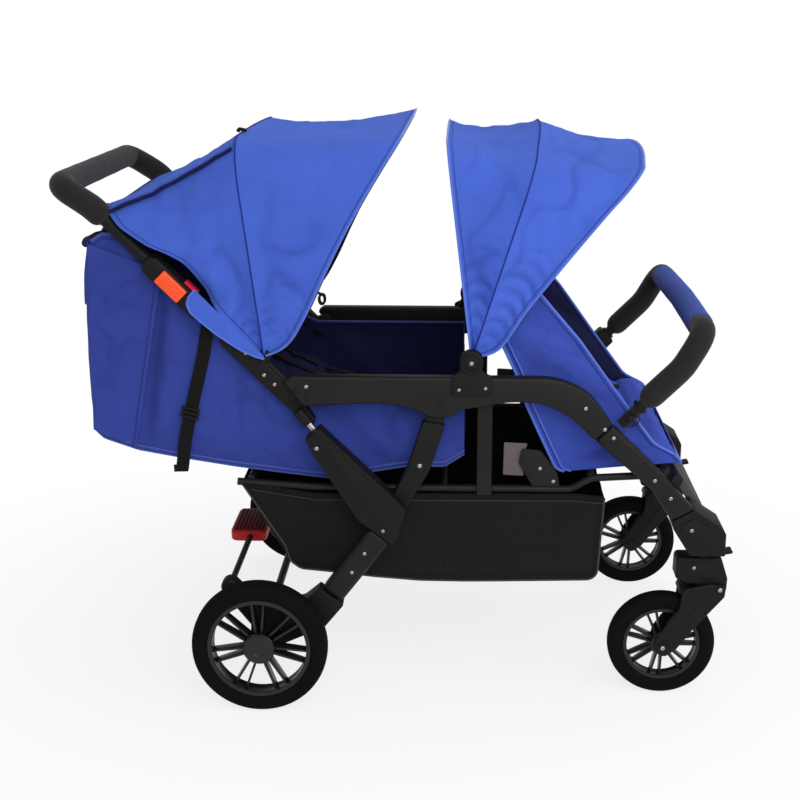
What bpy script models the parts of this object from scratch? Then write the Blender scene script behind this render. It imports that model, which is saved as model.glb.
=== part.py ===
"""Quadruple stroller: two seats in front, two behind, on one folding frame.

X runs forward, Y to the stroller's left and Z up, in metres. The origin is on the floor under the middle of
the whole stroller. Pieces that come in pairs are made once per side, with side = -1 for the right hand side
and +1 for the left.
"""
import math

import bmesh
import bpy
from mathutils import Matrix, Vector

# Clearances
FIT = 0.0003

# Wheels
REAR_RADIUS = 0.127
REAR_WIDTH = 0.042
REAR_TRACK = 0.740
REAR_AXLE_X = -0.250
FRONT_RADIUS = 0.1016
FRONT_WIDTH = 0.036
FRONT_TRACK = 0.536
CASTER_TRAIL = 0.071
LEVER_PIVOT = (0.6035, 0.2845)
SWIVEL_X = 0.577
SPOKE_PAIRS = 7
SPOKE_WIDTH = 0.005
AXLE_RADIUS = 0.008
AXLE_PIN_RADIUS = 0.005

# Side frames
RAIL_Y = 0.306
RAIL_THICK = 0.026
RAIL_TOP = 0.632
RAIL_EDGE = 0.004
SADDLE_DEPTH = 0.0008
SLOT_WIDTH = 0.014
TONGUE_WIDTH = 0.012
LEG_INNER = 0.304
LEG_OUTER = 0.332
GUSSET_INNER = 0.300
GUSSET_OUTER = 0.336
HANDLE_PIVOT = (-0.181, 0.605)
LINK_PIVOT = (0.082, 0.583)
PIN_RADIUS = 0.005

# Handle
TUBE_RADIUS = 0.012
GRIP_RADIUS = 0.0225
ARM_Y = 0.280
GRIP_X = -0.600
GRIP_Z = 0.968
ARM_LINE = 0.390
ROD_RADIUS = 0.006
ROD_SEAT = (-0.148, 0.5285)
ROD_TILT = math.radians(129.8)

# Hoods
HOOD_OUTER = 0.3038
HOOD_SKIN = 0.0035
BOW_Y = 0.2962
BOW_SINK = 0.0030
BOW_RADIUS = 0.0035
HUB_RADIUS = 0.012
REAR_HUB = (-0.237, 0.665)
REAR_FRONT_ANGLE = 57.5
REAR_MID_ANGLE = 97.0
REAR_BACK_ANGLE = 134.5
FRONT_HUB = (0.138, 0.661)
FRONT_FRONT_ANGLE = 48.5
FRONT_MID_ANGLE = 72.5
FRONT_BACK_ANGLE = 97.0

# Seats and basket
TUB_HALF = 0.2615
TUB_WALL = 0.005
SEAT_HALF = 0.262
SEAT_WALL = 0.005
PAD_HALF = 0.2562
BASKET_HALF = 0.288
BASKET_WALL = 0.004
FRAME_TUBE = 0.007
FRAME_Y = 0.280
REAR_HINGE = (-0.130, 0.475)
FRONT_HINGE = (0.300, 0.462)

# Front end
FOOTREST_HALF = 0.232
FOOTREST_THICK = 0.018
FOOTREST_PIVOT = (0.518, 0.436)
FOOTREST_LENGTH = 0.128
BUMPER_Y = 0.300
BUMPER_TUBE = 0.0105
BUMPER_FOAM = 0.0225
BUMPER_FOOT = (0.4045, 0.5375)
SOCKET_DEPTH = 0.053

# Brake
BRAKE_AXIS = (-0.310, 0.225)
SHAFT_RADIUS = 0.006
PEDAL_LENGTH = 0.074
PEDAL_WIDTH = 0.140
PEDAL_RIBS = 8

REAR_AXLE = (REAR_AXLE_X, REAR_RADIUS)
FRONT_AXLE = (SWIVEL_X - CASTER_TRAIL, FRONT_RADIUS)
KNUCKLE = (SWIVEL_X + 0.030, FRONT_RADIUS + 0.1204)
RAIL_INNER = RAIL_Y - RAIL_THICK / 2
RAIL_OUTER = RAIL_Y + RAIL_THICK / 2

for old in list(bpy.data.objects):
    bpy.data.objects.remove(old)


# Materials

def material(name, colour, roughness, metallic=0.0):
    mat = bpy.data.materials.new(name)
    mat.use_nodes = True
    shader = mat.node_tree.nodes["Principled BSDF"]
    shader.inputs["Base Color"].default_value = (*colour, 1.0)
    shader.inputs["Roughness"].default_value = roughness
    shader.inputs["Metallic"].default_value = metallic
    return mat


BLACK_PAINT = ((0.018, 0.018, 0.019), 0.45, 0.0)
BLACK_PLASTIC = ((0.014, 0.014, 0.015), 0.5, 0.0)
BLACK_FOAM = ((0.012, 0.012, 0.013), 0.85, 0.0)
BLACK_CLOTH = ((0.012, 0.012, 0.014), 0.9, 0.0)
BLUE_CLOTH = ((0.012, 0.040, 0.42), 0.75, 0.0)
GREY_PLASTIC = ((0.05, 0.052, 0.058), 0.55, 0.0)
RED_PLASTIC = ((0.62, 0.015, 0.012), 0.4, 0.0)
CRIMSON_PLASTIC = ((0.50, 0.010, 0.030), 0.4, 0.0)
ORANGE_PLASTIC = ((0.85, 0.11, 0.02), 0.4, 0.0)
TYRE_RUBBER = ((0.022, 0.020, 0.019), 0.85, 0.0)
BARE_STEEL = ((0.45, 0.45, 0.46), 0.3, 1.0)


# Modelling helpers

def add(name, bm, finish, smooth=40.0):
    """Turn a bmesh into a named object with its own material."""
    bmesh.ops.remove_doubles(bm, verts=bm.verts, dist=1e-6)
    bmesh.ops.recalc_face_normals(bm, faces=bm.faces)
    if bm.calc_volume(signed=True) < 0:
        bmesh.ops.reverse_faces(bm, faces=bm.faces)
    mesh = bpy.data.meshes.new(name)
    bm.to_mesh(mesh)
    bm.free()
    mesh.shade_smooth()
    mesh.set_sharp_from_angle(angle=math.radians(smooth))
    obj = bpy.data.objects.new(name, mesh)
    bpy.context.scene.collection.objects.link(obj)
    if finish:
        mesh.materials.append(material(name, *finish))
    return obj


def boolean(target, tool, operation):
    tool.hide_render = True
    tool.display_type = "WIRE"
    mod = target.modifiers.new(operation.title(), "BOOLEAN")
    mod.operation = operation
    mod.solver = "EXACT"
    mod.object = tool
    return target


def union(target, *tools):
    for tool in tools:
        boolean(target, tool, "UNION")
    return target


def cut(target, *tools):
    for tool in tools:
        boolean(target, tool, "DIFFERENCE")
    return target


def soften(obj, width, segments=1):
    mod = obj.modifiers.new("Bevel", "BEVEL")
    mod.width = width
    mod.segments = segments
    mod.limit_method = "ANGLE"
    mod.angle_limit = math.radians(50)
    return obj


def fillet(corners, steps=2):
    """Round each (a, b, radius) corner of a closed outline and return its points."""
    points = []
    count = len(corners)
    for i, (a, b, radius) in enumerate(corners):
        here = Vector((a, b))
        back = Vector(corners[i - 1][:2]) - here
        ahead = Vector(corners[(i + 1) % count][:2]) - here
        if radius <= 0.0:
            points.append((a, b))
            continue
        half = back.angle(ahead) / 2
        reach = min(radius / math.tan(half), 0.48 * back.length, 0.48 * ahead.length)
        start = here + back.normalized() * reach
        end = here + ahead.normalized() * reach
        for k in range(steps + 1):
            t = k / steps
            p = start * (1 - t) ** 2 + here * 2 * t * (1 - t) + end * t ** 2
            points.append((p.x, p.y))
    return points


def inset(corners, distance):
    """Move each edge of a closed outline of (a, b, radius) corners inwards by one distance."""
    count = len(corners)
    points = [c[:2] for c in corners]
    area = sum(points[i - 1][0] * points[i][1] - points[i][0] * points[i - 1][1] for i in range(count))
    turn = 1.0 if area > 0 else -1.0
    result = []
    for i in range(count):
        here = Vector(points[i])
        a = (here - Vector(points[i - 1])).normalized()
        b = (Vector(points[(i + 1) % count]) - here).normalized()
        na = Vector((-a.y, a.x)) * turn
        nb = Vector((-b.y, b.x)) * turn
        mid = na + nb
        mid *= 2 / max(mid.dot(mid), 0.5)
        result.append((*(here + mid * distance), max(corners[i][2] - distance, 0.002)))
    return result


def plate(name, outline, y0, y1, finish=None, edge=0.0, segments=1):
    """An outline in the XZ plane, extruded from y0 to y1."""
    bm = bmesh.new()
    face = bm.faces.new([bm.verts.new((x, y0, z)) for x, z in outline])
    grown = bmesh.ops.extrude_face_region(bm, geom=[face])
    moved = [v for v in grown["geom"] if isinstance(v, bmesh.types.BMVert)]
    bmesh.ops.translate(bm, verts=moved, vec=(0, y1 - y0, 0))
    obj = add(name, bm, finish)
    if edge:
        soften(obj, edge, segments)
    return obj


def sides(side, inner, outer):
    """The y range of a piece that lies between two distances from the middle, on one side."""
    return (side * outer, side * inner) if side < 0 else (side * inner, side * outer)


def stadium(a, b, ra, rb, steps=5):
    """The outline of two round ends joined by straight flanks."""
    a, b = Vector(a), Vector(b)
    run = b - a
    base = math.atan2(run.y, run.x)
    lean = math.acos(max(-1.0, min(1.0, (ra - rb) / run.length)))
    points = []
    for centre, radius, first, last in ((b, rb, base - lean, base + lean), (a, ra, base + lean, base - lean + math.tau)):
        for k in range(steps + 1):
            angle = first + (last - first) * k / steps
            points.append((centre.x + radius * math.cos(angle), centre.y + radius * math.sin(angle)))
    return points


def turned(name, profile, centre, finish=None, steps=36):
    """Turn a closed (radius, y) profile about the Y axis through centre = (x, z)."""
    bm = bmesh.new()
    ring = [bm.verts.new((r, y, 0)) for r, y in profile]
    edges = [bm.edges.new((ring[i - 1], ring[i])) for i in range(len(ring))]
    bmesh.ops.spin(bm, geom=ring + edges, cent=(0, 0, 0), axis=(0, 1, 0), angle=math.tau, steps=steps, use_duplicate=False)
    bmesh.ops.remove_doubles(bm, verts=bm.verts, dist=1e-6)
    bmesh.ops.dissolve_degenerate(bm, dist=1e-7, edges=bm.edges)
    obj = add(name, bm, finish)
    obj.location = (centre[0], 0, centre[1])
    return obj


def disc(name, centre, radius, y0, y1, finish=None, steps=12):
    """A plain cylinder along Y."""
    points = [(centre[0] + radius * math.cos(math.tau * k / steps), centre[1] + radius * math.sin(math.tau * k / steps)) for k in range(steps)]
    return plate(name, points, y0, y1, finish)


def smooth_path(corners, steps=6):
    """Round each (x, y, z, radius) corner of an open path and return its points."""
    points = [Vector(corners[0][:3])]
    for i in range(1, len(corners) - 1):
        here = Vector(corners[i][:3])
        back = Vector(corners[i - 1][:3]) - here
        ahead = Vector(corners[i + 1][:3]) - here
        radius = corners[i][3]
        reach = min(radius / math.tan(back.angle(ahead) / 2), 0.49 * back.length, 0.49 * ahead.length)
        start = here + back.normalized() * reach
        end = here + ahead.normalized() * reach
        for k in range(steps + 1):
            t = k / steps
            points.append(start * (1 - t) ** 2 + here * 2 * t * (1 - t) + end * t ** 2)
    points.append(Vector(corners[-1][:3]))
    return points


def tube(name, path, radius, finish=None, around=10):
    """A solid round bar along a path, with flat ends. The radius may be a list, one for each point."""
    bm = bmesh.new()
    radii = radius if isinstance(radius, list) else [radius] * len(path)
    tangent = (path[1] - path[0]).normalized()
    normal = tangent.orthogonal().normalized()
    rings = []
    for i, point in enumerate(path):
        ahead = path[min(i + 1, len(path) - 1)] - path[max(i - 1, 0)]
        turn = tangent.rotation_difference(ahead.normalized())
        normal = turn @ normal
        tangent = ahead.normalized()
        normal = (normal - tangent * normal.dot(tangent)).normalized()
        across = tangent.cross(normal)
        rings.append([bm.verts.new(point + (normal * math.cos(math.tau * k / around) + across * math.sin(math.tau * k / around)) * radii[i]) for k in range(around)])
    for low, high in zip(rings, rings[1:]):
        for k in range(around):
            bm.faces.new((low[k], low[(k + 1) % around], high[(k + 1) % around], high[k]))
    bm.faces.new(list(reversed(rings[0])))
    bm.faces.new(rings[-1])
    return add(name, bm, finish)


def bar(name, a, b, radius, finish=None, around=12):
    return tube(name, [Vector(a), Vector(b)], radius, finish, around)


def rib_plane(rib):
    """The unit normal of the plane that a rib's points lie in."""
    middle = rib[len(rib) // 2]
    return (rib[0] - middle).cross(rib[-1] - middle).normalized()


def sheet(name, ribs, thickness, finish):
    """Cloth stretched over a row of ribs, as a closed skin that grows inwards from the ribs."""
    bm = bmesh.new()
    rows = [[bm.verts.new(p) for p in rib] for rib in ribs]
    for low, high in zip(rows, rows[1:]):
        for k in range(len(low) - 1):
            bm.faces.new((low[k], low[k + 1], high[k + 1], high[k]))
    bmesh.ops.recalc_face_normals(bm, faces=bm.faces)
    bm.normal_update()
    middle = sum((v.co for v in bm.verts), Vector()) / len(bm.verts)
    crown = max(bm.verts, key=lambda v: v.co.z)
    inward = -1.0 if crown.normal.dot(crown.co - middle) > 0 else 1.0
    planes = {0: rib_plane(ribs[0]), len(rows) - 1: rib_plane(ribs[-1])}
    inner = []
    for i, row in enumerate(rows):
        inner.append([])
        for v in row:
            way = v.normal.copy()
            if i in planes:
                way -= planes[i] * way.dot(planes[i])
            inner[-1].append(bm.verts.new(v.co + way.normalized() * thickness * inward))
    for low, high in zip(inner, inner[1:]):
        for k in range(len(low) - 1):
            bm.faces.new((low[k], high[k], high[k + 1], low[k + 1]))
    last = len(rows) - 1
    end = len(rows[0]) - 1
    for i in range(last):
        for k in (0, end):
            bm.faces.new((rows[i][k], rows[i + 1][k], inner[i + 1][k], inner[i][k]))
    for k in range(end):
        for i in (0, last):
            bm.faces.new((rows[i][k], rows[i][k + 1], inner[i][k + 1], inner[i][k]))
    return add(name, bm, finish, 60.0)


def cushion(name, size, rise, finish, channels=(), rows=8, columns=18, sink=0.25, up=1):
    """A sewn cushion: crowned towards up, drawn in at its edges, with channels along it at the given y."""
    length, width = size
    bm = bmesh.new()

    def height(u, v):
        crown = (max(0.0, 1 - abs(u) ** 3.5) * max(0.0, 1 - abs(v) ** 5)) ** 0.45
        groove = sum(math.exp(-((v * width / 2 - y) / 0.014) ** 2) for y in channels)
        return rise * crown * (1 - 0.42 * groove)

    top, bottom = [], []
    for i in range(rows + 1):
        u = math.sin(math.pi / 2 * (2 * i / rows - 1))
        upper, lower = [], []
        for j in range(columns + 1):
            v = math.sin(math.pi / 2 * (2 * j / columns - 1)) * 0.35 + (2 * j / columns - 1) * 0.65
            x, y = u * length / 2, v * width / 2
            h = height(u, v)
            vert = bm.verts.new((x, y, h * up))
            upper.append(vert)
            on_edge = i in (0, rows) or j in (0, columns)
            lower.append(vert if on_edge else bm.verts.new((x, y, -h * sink * up)))
        top.append(upper)
        bottom.append(lower)
    for i in range(rows):
        for j in range(columns):
            bm.faces.new((top[i][j], top[i + 1][j], top[i + 1][j + 1], top[i][j + 1]))
            bm.faces.new((bottom[i][j], bottom[i][j + 1], bottom[i + 1][j + 1], bottom[i + 1][j]))
    return add(name, bm, finish, 60.0)


def xz(point, y):
    return Vector((point[0], y, point[1]))


def along(point, angle, distance):
    return (point[0] + distance * math.cos(angle), point[1] + distance * math.sin(angle))


# Side rails, links, gussets and legs

def rail_outline():
    """The deep side rail: flat on top, with a rounded front shoulder and a swell over the link pivot."""
    px, pz = LINK_PIVOT
    top = RAIL_TOP
    return fillet([
        (HANDLE_PIVOT[0] - 0.020, top - 0.010, 0.010), (HANDLE_PIVOT[0] - 0.006, top, 0.010),
        (0.290, top, 0.050), (0.352, top - 0.026, 0.030), (0.393, 0.5465, 0.0),
        (0.363, 0.5155, 0.0), (0.318, 0.5615, 0.040), (0.262, 0.586, 0.040), (0.205, 0.5865, 0.060),
        (px + 0.040, pz - 0.012, 0.020), (px + 0.016, pz - 0.027, 0.014), (px - 0.016, pz - 0.027, 0.014),
        (px - 0.044, pz - 0.012, 0.020), (-0.026, 0.583, 0.060), (HANDLE_PIVOT[0] + 0.017, 0.575, 0.010)])


def side_rail(side, name):
    rail = plate(name, rail_outline(), *sides(side, RAIL_INNER, RAIL_OUTER), BLACK_PAINT, RAIL_EDGE)
    slot_top = LINK_PIVOT[1] + 0.0185
    slot = plate(name + "_slot", [(LINK_PIVOT[0] - 0.062, 0.520), (LINK_PIVOT[0] + 0.075, 0.520),
                                  (LINK_PIVOT[0] + 0.075, slot_top), (LINK_PIVOT[0] - 0.062, slot_top)],
                 *sides(side, RAIL_Y - SLOT_WIDTH / 2, RAIL_Y + SLOT_WIDTH / 2))
    bore = disc(name + "_bore", LINK_PIVOT, PIN_RADIUS + FIT, *sides(side, RAIL_INNER - 0.01, RAIL_OUTER + 0.01))
    eye = disc(name + "_eye", HANDLE_PIVOT, PIN_RADIUS + FIT, *sides(side, RAIL_INNER - 0.01, RAIL_OUTER + 0.01))
    saddle = plate(name + "_saddle", [(FRONT_HUB[0] - 0.040, RAIL_TOP - SADDLE_DEPTH), (FRONT_HUB[0] + 0.042, RAIL_TOP - SADDLE_DEPTH),
                                      (FRONT_HUB[0] + 0.042, RAIL_TOP + 0.010), (FRONT_HUB[0] - 0.040, RAIL_TOP + 0.010)],
                   *sides(side, RAIL_INNER - 0.01, RAIL_OUTER + 0.01))
    return cut(rail, slot, bore, eye, saddle)


def rear_gusset(side, name):
    """Gusset moulding with the link strut that hinges in the rail's slot."""
    seat = Vector(ROD_SEAT)
    face = Vector((math.sin(ROD_TILT), -math.cos(ROD_TILT)))
    high = seat + face * 0.016
    low = seat - face * 0.017
    body = plate(name, fillet([
        (*high, 0.002), (0.022, 0.385, 0.012), (0.006, 0.331, 0.010), (-0.0047, 0.3167, 0.0),
        (-0.0478, 0.3491, 0.0), (-0.066, 0.362, 0.010), (-0.150, 0.492, 0.012), (*low, 0.002)], 1),
        *sides(side, GUSSET_INNER, GUSSET_OUTER), BLACK_PLASTIC, 0.005)
    px, pz = LINK_PIVOT
    strut = plate(name + "_strut", fillet([
        (px - 0.031, pz - 0.034, 0.008), (px + 0.010, pz - 0.040, 0.008), (0.064, 0.455, 0.080), (0.016, 0.372, 0.004),
        (-0.014, 0.384, 0.004), (0.024, 0.464, 0.080)], 1),
        *sides(side, RAIL_INNER + 0.0005, RAIL_OUTER - 0.0005), None, 0.004)
    tongue = plate(name + "_tongue", stadium(LINK_PIVOT, (px - 0.022, pz - 0.075), 0.0165, 0.0150),
                   *sides(side, RAIL_Y - TONGUE_WIDTH / 2, RAIL_Y + TONGUE_WIDTH / 2))
    pin = disc(name + "_pin", LINK_PIVOT, PIN_RADIUS, *sides(side, RAIL_INNER + 0.001, RAIL_OUTER + 0.002))
    return union(body, strut, tongue, pin)


LEG_TOP = (-0.0264, 0.3326)
LEG_FOOT = (-0.1180, 0.2110)


def rear_leg(side, name):
    top, foot = Vector(LEG_TOP), Vector(LEG_FOOT)
    run = (foot - top).normalized()
    across = Vector((-run.y, run.x))
    top = top + run * FIT
    corners = [top + across * 0.0235, top - across * 0.0235, foot - across * 0.0225, foot + across * 0.0225]
    return plate(name, [tuple(c) for c in corners], *sides(side, LEG_INNER, LEG_OUTER), BLACK_PAINT, 0.008, 2)


def rear_housing(side, name):
    """Moulding that joins the leg, the axle and the brake shaft."""
    ax, az = REAR_AXLE
    foot, top = Vector(LEG_FOOT), Vector(LEG_TOP)
    run = (foot - top).normalized()
    across = Vector((-run.y, run.x))
    mouth = foot + run * FIT
    y0, y1 = sides(side, GUSSET_INNER, GUSSET_OUTER)
    a = mouth + across * 0.028
    b = mouth - across * 0.028
    body = plate(name, fillet([
        (*a, 0.003), (ax + 0.118, az + 0.022, 0.020), (ax + 0.030, az - 0.018, 0.010), (ax - 0.006, az - 0.022, 0.020),
        (ax - 0.022, az + 0.010, 0.020), (ax - 0.020, az + 0.050, 0.020), (ax + 0.010, az + 0.072, 0.030),
        (ax + 0.078, az + 0.074, 0.020), (*b, 0.003)], 1), y0, y1, BLACK_PLASTIC, 0.005)
    y0, y1 = sides(side, GUSSET_INNER + 0.002, GUSSET_OUTER - 0.002)
    arm = plate(name + "_arm", stadium((ax, az + 0.030), BRAKE_AXIS, 0.022, 0.0165, 4), y0, y1, None, 0.004)
    brow = plate(name + "_brow", stadium((ax + 0.060, az + 0.056), (BRAKE_AXIS[0] + 0.024, BRAKE_AXIS[1] - 0.028), 0.016, 0.012, 3), *sides(side, GUSSET_INNER + 0.004, GUSSET_OUTER - 0.004))
    bore = disc(name + "_axle_bore", REAR_AXLE, AXLE_RADIUS + FIT, *sides(side, GUSSET_INNER - 0.01, GUSSET_OUTER + 0.01))
    shaft = disc(name + "_shaft_bore", BRAKE_AXIS, SHAFT_RADIUS + FIT, *sides(side, GUSSET_INNER - 0.01, GUSSET_OUTER + 0.01))
    return cut(union(body, arm, brow), bore, shaft)


def front_leg(side, name):
    """Bent oval tube, with the ear that carries the footrest's pin."""
    leg = plate(name, fillet([
        (0.3936, 0.5455, 0.0), (0.474, 0.4675, 0.080), (0.5485, 0.3855, 0.0), (0.5085, 0.3632, 0.0),
        (0.466, 0.4255, 0.060), (0.3638, 0.5147, 0.0)]),
        *sides(side, RAIL_INNER, RAIL_OUTER), BLACK_PAINT, 0.006)
    px, pz = FOOTREST_PIVOT
    ear = plate(name + "_ear", stadium(FOOTREST_PIVOT, (px - 0.014, pz - 0.026), 0.0105, 0.012), *sides(side, FOOTREST_HALF + 0.001, RAIL_INNER + 0.004))
    bore = disc(name + "_bore", FOOTREST_PIVOT, PIN_RADIUS + FIT, *sides(side, FOOTREST_HALF - 0.01, RAIL_INNER + 0.0025))
    return cut(union(leg, ear), bore)


def front_joint(side, name):
    """Moulding at the foot of the front leg, bored for the caster's stem."""
    y0, y1 = sides(side, 0.236, RAIL_OUTER - 0.001)
    body = plate(name, fillet([
        (0.5090, 0.3625, 0.003), (0.5489, 0.3850, 0.006), (0.603, 0.3500, 0.010), (0.609, 0.338, 0.006),
        (0.609, 0.2955, 0.003), (0.5445, 0.2955, 0.006), (0.5120, 0.3470, 0.012)]), y0, y1, BLACK_PLASTIC, 0.006)
    y = side * FRONT_TRACK / 2
    bore = bar(name + "_bore", (SWIVEL_X, y, 0.290), (SWIVEL_X, y, 0.3275), 0.0080 + FIT, None, 12)
    return cut(body, bore)


# Casters

def caster_block(side, name):
    y = side * FRONT_TRACK / 2
    body = plate(name, fillet([
        (0.5255, 0.2815, 0.010), (0.6085, 0.2815, 0.004), (0.622, 0.240, 0.010), (0.621, 0.212, 0.010),
        (0.600, 0.208, 0.010), (0.580, 0.226, 0.010), (0.545, 0.229, 0.008), (0.5245, 0.240, 0.008)], 1),
        y - 0.0215, y + 0.0215, BLACK_PLASTIC, 0.005)
    collar = bar(name + "_collar", (SWIVEL_X, y, 0.2790), (SWIVEL_X, y, 0.2945), 0.019, None, 14)
    stem = bar(name + "_stem", (SWIVEL_X, y, 0.2850), (SWIVEL_X, y, 0.3265), 0.0080, None, 12)
    bore = disc(name + "_bore", KNUCKLE, PIN_RADIUS + 0.001 + FIT, y - 0.05, y + 0.05)
    return cut(union(body, collar, stem), bore)


def fork(side, name):
    """Two blades either side of the wheel, joined by the knuckle bolt, the axle and a bridge over the tyre."""
    y = side * FRONT_TRACK / 2
    kx, kz = KNUCKLE
    ax, az = FRONT_AXLE
    outline = fillet([
        (kx + 0.012, kz + 0.006, 0.010), (kx + 0.010, kz - 0.016, 0.010), (ax + 0.084, az + 0.072, 0.012),
        (ax + 0.053, az + 0.034, 0.020), (ax + 0.026, az - 0.004, 0.014), (ax + 0.004, az - 0.021, 0.012),
        (ax - 0.018, az - 0.006, 0.014), (ax - 0.013, az + 0.019, 0.014), (ax + 0.028, az + 0.080, 0.020),
        (ax + 0.032, az + 0.118, 0.008), (kx - 0.020, kz + 0.010, 0.010)], 1)
    inner, outer = 0.0222, 0.0312
    blades = [plate(name if s < 0 else name + "_blade", outline, *sides(s, y * s + inner, y * s + outer), BLACK_PLASTIC if s < 0 else None)
              for s in (-1, 1)]
    bolt = disc(name + "_bolt", KNUCKLE, PIN_RADIUS + 0.001, y - 0.034, y + 0.034)
    axle = disc(name + "_axle", FRONT_AXLE, PIN_RADIUS, y - 0.034, y + 0.034)
    bridge = plate(name + "_bridge", fillet([
        (ax + 0.030, az + 0.119, 0.002), (ax + 0.026, az + 0.109, 0.002), (ax + 0.062, az + 0.097, 0.002),
        (ax + 0.068, az + 0.104, 0.002)], 1), y - 0.025, y + 0.025)
    return union(blades[0], blades[1], bolt, axle, bridge)


# Wheels

def tyre(side, name, axle, radius, width, seat, track):
    y = side * track / 2
    w = width / 2
    depth = radius - seat
    profile = [(seat, y - w * 0.72), (seat + depth * 0.30, y - w), (radius - depth * 0.26, y - w),
               (radius, y - w * 0.42), (radius, y + w * 0.42), (radius - depth * 0.26, y + w),
               (seat + depth * 0.30, y + w), (seat, y + w * 0.72)]
    return turned(name, profile, axle, TYRE_RUBBER, 24)


def rim(side, name, axle, seat, lip, width, track, hub, cap, pin, spread, first, capped):
    """Wheel ring, hub and hub cap joined by pairs of thin spokes that spread towards the ring."""
    y = side * track / 2
    w = width * 0.36
    ring = turned(name, [(seat - FIT, y - w), (seat - FIT, y + w), (lip, y + w * 1.12), (lip, y - w * 1.12)], axle, BLACK_PLASTIC, 24)
    face = y + side * width * 0.52
    back = y - side * width * 0.50
    bore = (pin + FIT) / math.cos(math.pi / 10)
    mouth = [(bore, face - side * 0.004), (0.0001, face - side * 0.004), (0.0001, face)] if capped else [(bore, face)]
    core = turned(name + "_hub", [(bore, back), *mouth, (cap * 0.86, face), (cap, face - side * 0.004),
                                  (hub, face - side * 0.012), (hub, back)], axle, None, 10)
    bm = bmesh.new()
    for pair in range(SPOKE_PAIRS):
        for lean in (-1, 1):
            heading = math.radians(first) + math.tau * pair / SPOKE_PAIRS
            out = Vector((math.cos(heading), 0, math.sin(heading)))
            across = Vector((-out.z, 0, out.x))
            root = out * (hub - 0.003) + across * lean * hub * 0.22
            tip = out * (lip + 0.0012) * math.cos(spread) + across * lean * lip * math.sin(spread)
            wide = (tip - root).normalized().cross(Vector((0, 1, 0))) * SPOKE_WIDTH / 2
            corners = []
            for end, low, high in ((root, -0.34, 0.30), (tip, -0.24, 0.22)):
                for flank in (-1, 1):
                    for rise in (low, high):
                        corners.append(bm.verts.new(end + wide * flank + Vector((0, y + side * rise * width, 0))))
            a, b, c, d, e, f, g, h = corners
            for quad in ((a, b, d, c), (e, g, h, f), (a, c, g, e), (b, f, h, d), (a, e, f, b), (c, d, h, g)):
                bm.faces.new(quad)
    spokes = add(name + "_spokes", bm, None)
    spokes.location = (axle[0], 0, axle[1])
    return union(ring, core, spokes)


# Handle

ARM_DIR = math.radians(135)


def arm_point(distance):
    """A point on the handle arm's straight stretch, measured up from its lower end."""
    low = (-0.2500, ARM_LINE + 0.2500)
    return along(low, ARM_DIR, distance)


def handle_path(start):
    """Half of the handle's centre line, from a point on the arm to the middle of the grip."""
    high = arm_point(0.410)
    low = arm_point(start)
    return [(low[0], -ARM_Y, low[1], 0), (high[0], -ARM_Y, high[1], 0.120),
            (GRIP_X, -ARM_Y + 0.004, GRIP_Z, 0.055), (GRIP_X, 0, GRIP_Z, 0)]


def mirrored(half):
    """Carry a path on across the middle, to the other side."""
    return half + [Vector((p.x, -p.y, p.z)) for p in reversed(half[:-1])]


def handle_tube():
    obj = tube("handle_tube", mirrored(smooth_path(handle_path(0.030), 3)), TUBE_RADIUS, BLACK_PAINT, 8)
    for side in (-1, 1):
        low, high = arm_point(0.150), arm_point(0.262)
        collar = plate("handle_collar_%d" % side, stadium(low, high, 0.0175, 0.0190, 5), *sides(side, ARM_Y - 0.018, ARM_Y + 0.0185), None, 0.004)
        union(obj, collar)
    return obj


def handle_foam():
    """Foam sleeve over the grip and both corners, with a bore for the tube."""
    whole = mirrored(smooth_path(handle_path(0.388), 3))
    foam = tube("handle_foam", whole, GRIP_RADIUS, BLACK_FOAM, 10)
    bore = tube("handle_foam_bore", mirrored(smooth_path(handle_path(0.350), 3)), TUBE_RADIUS + FIT * 2, None, 8)
    return cut(foam, bore)


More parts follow.
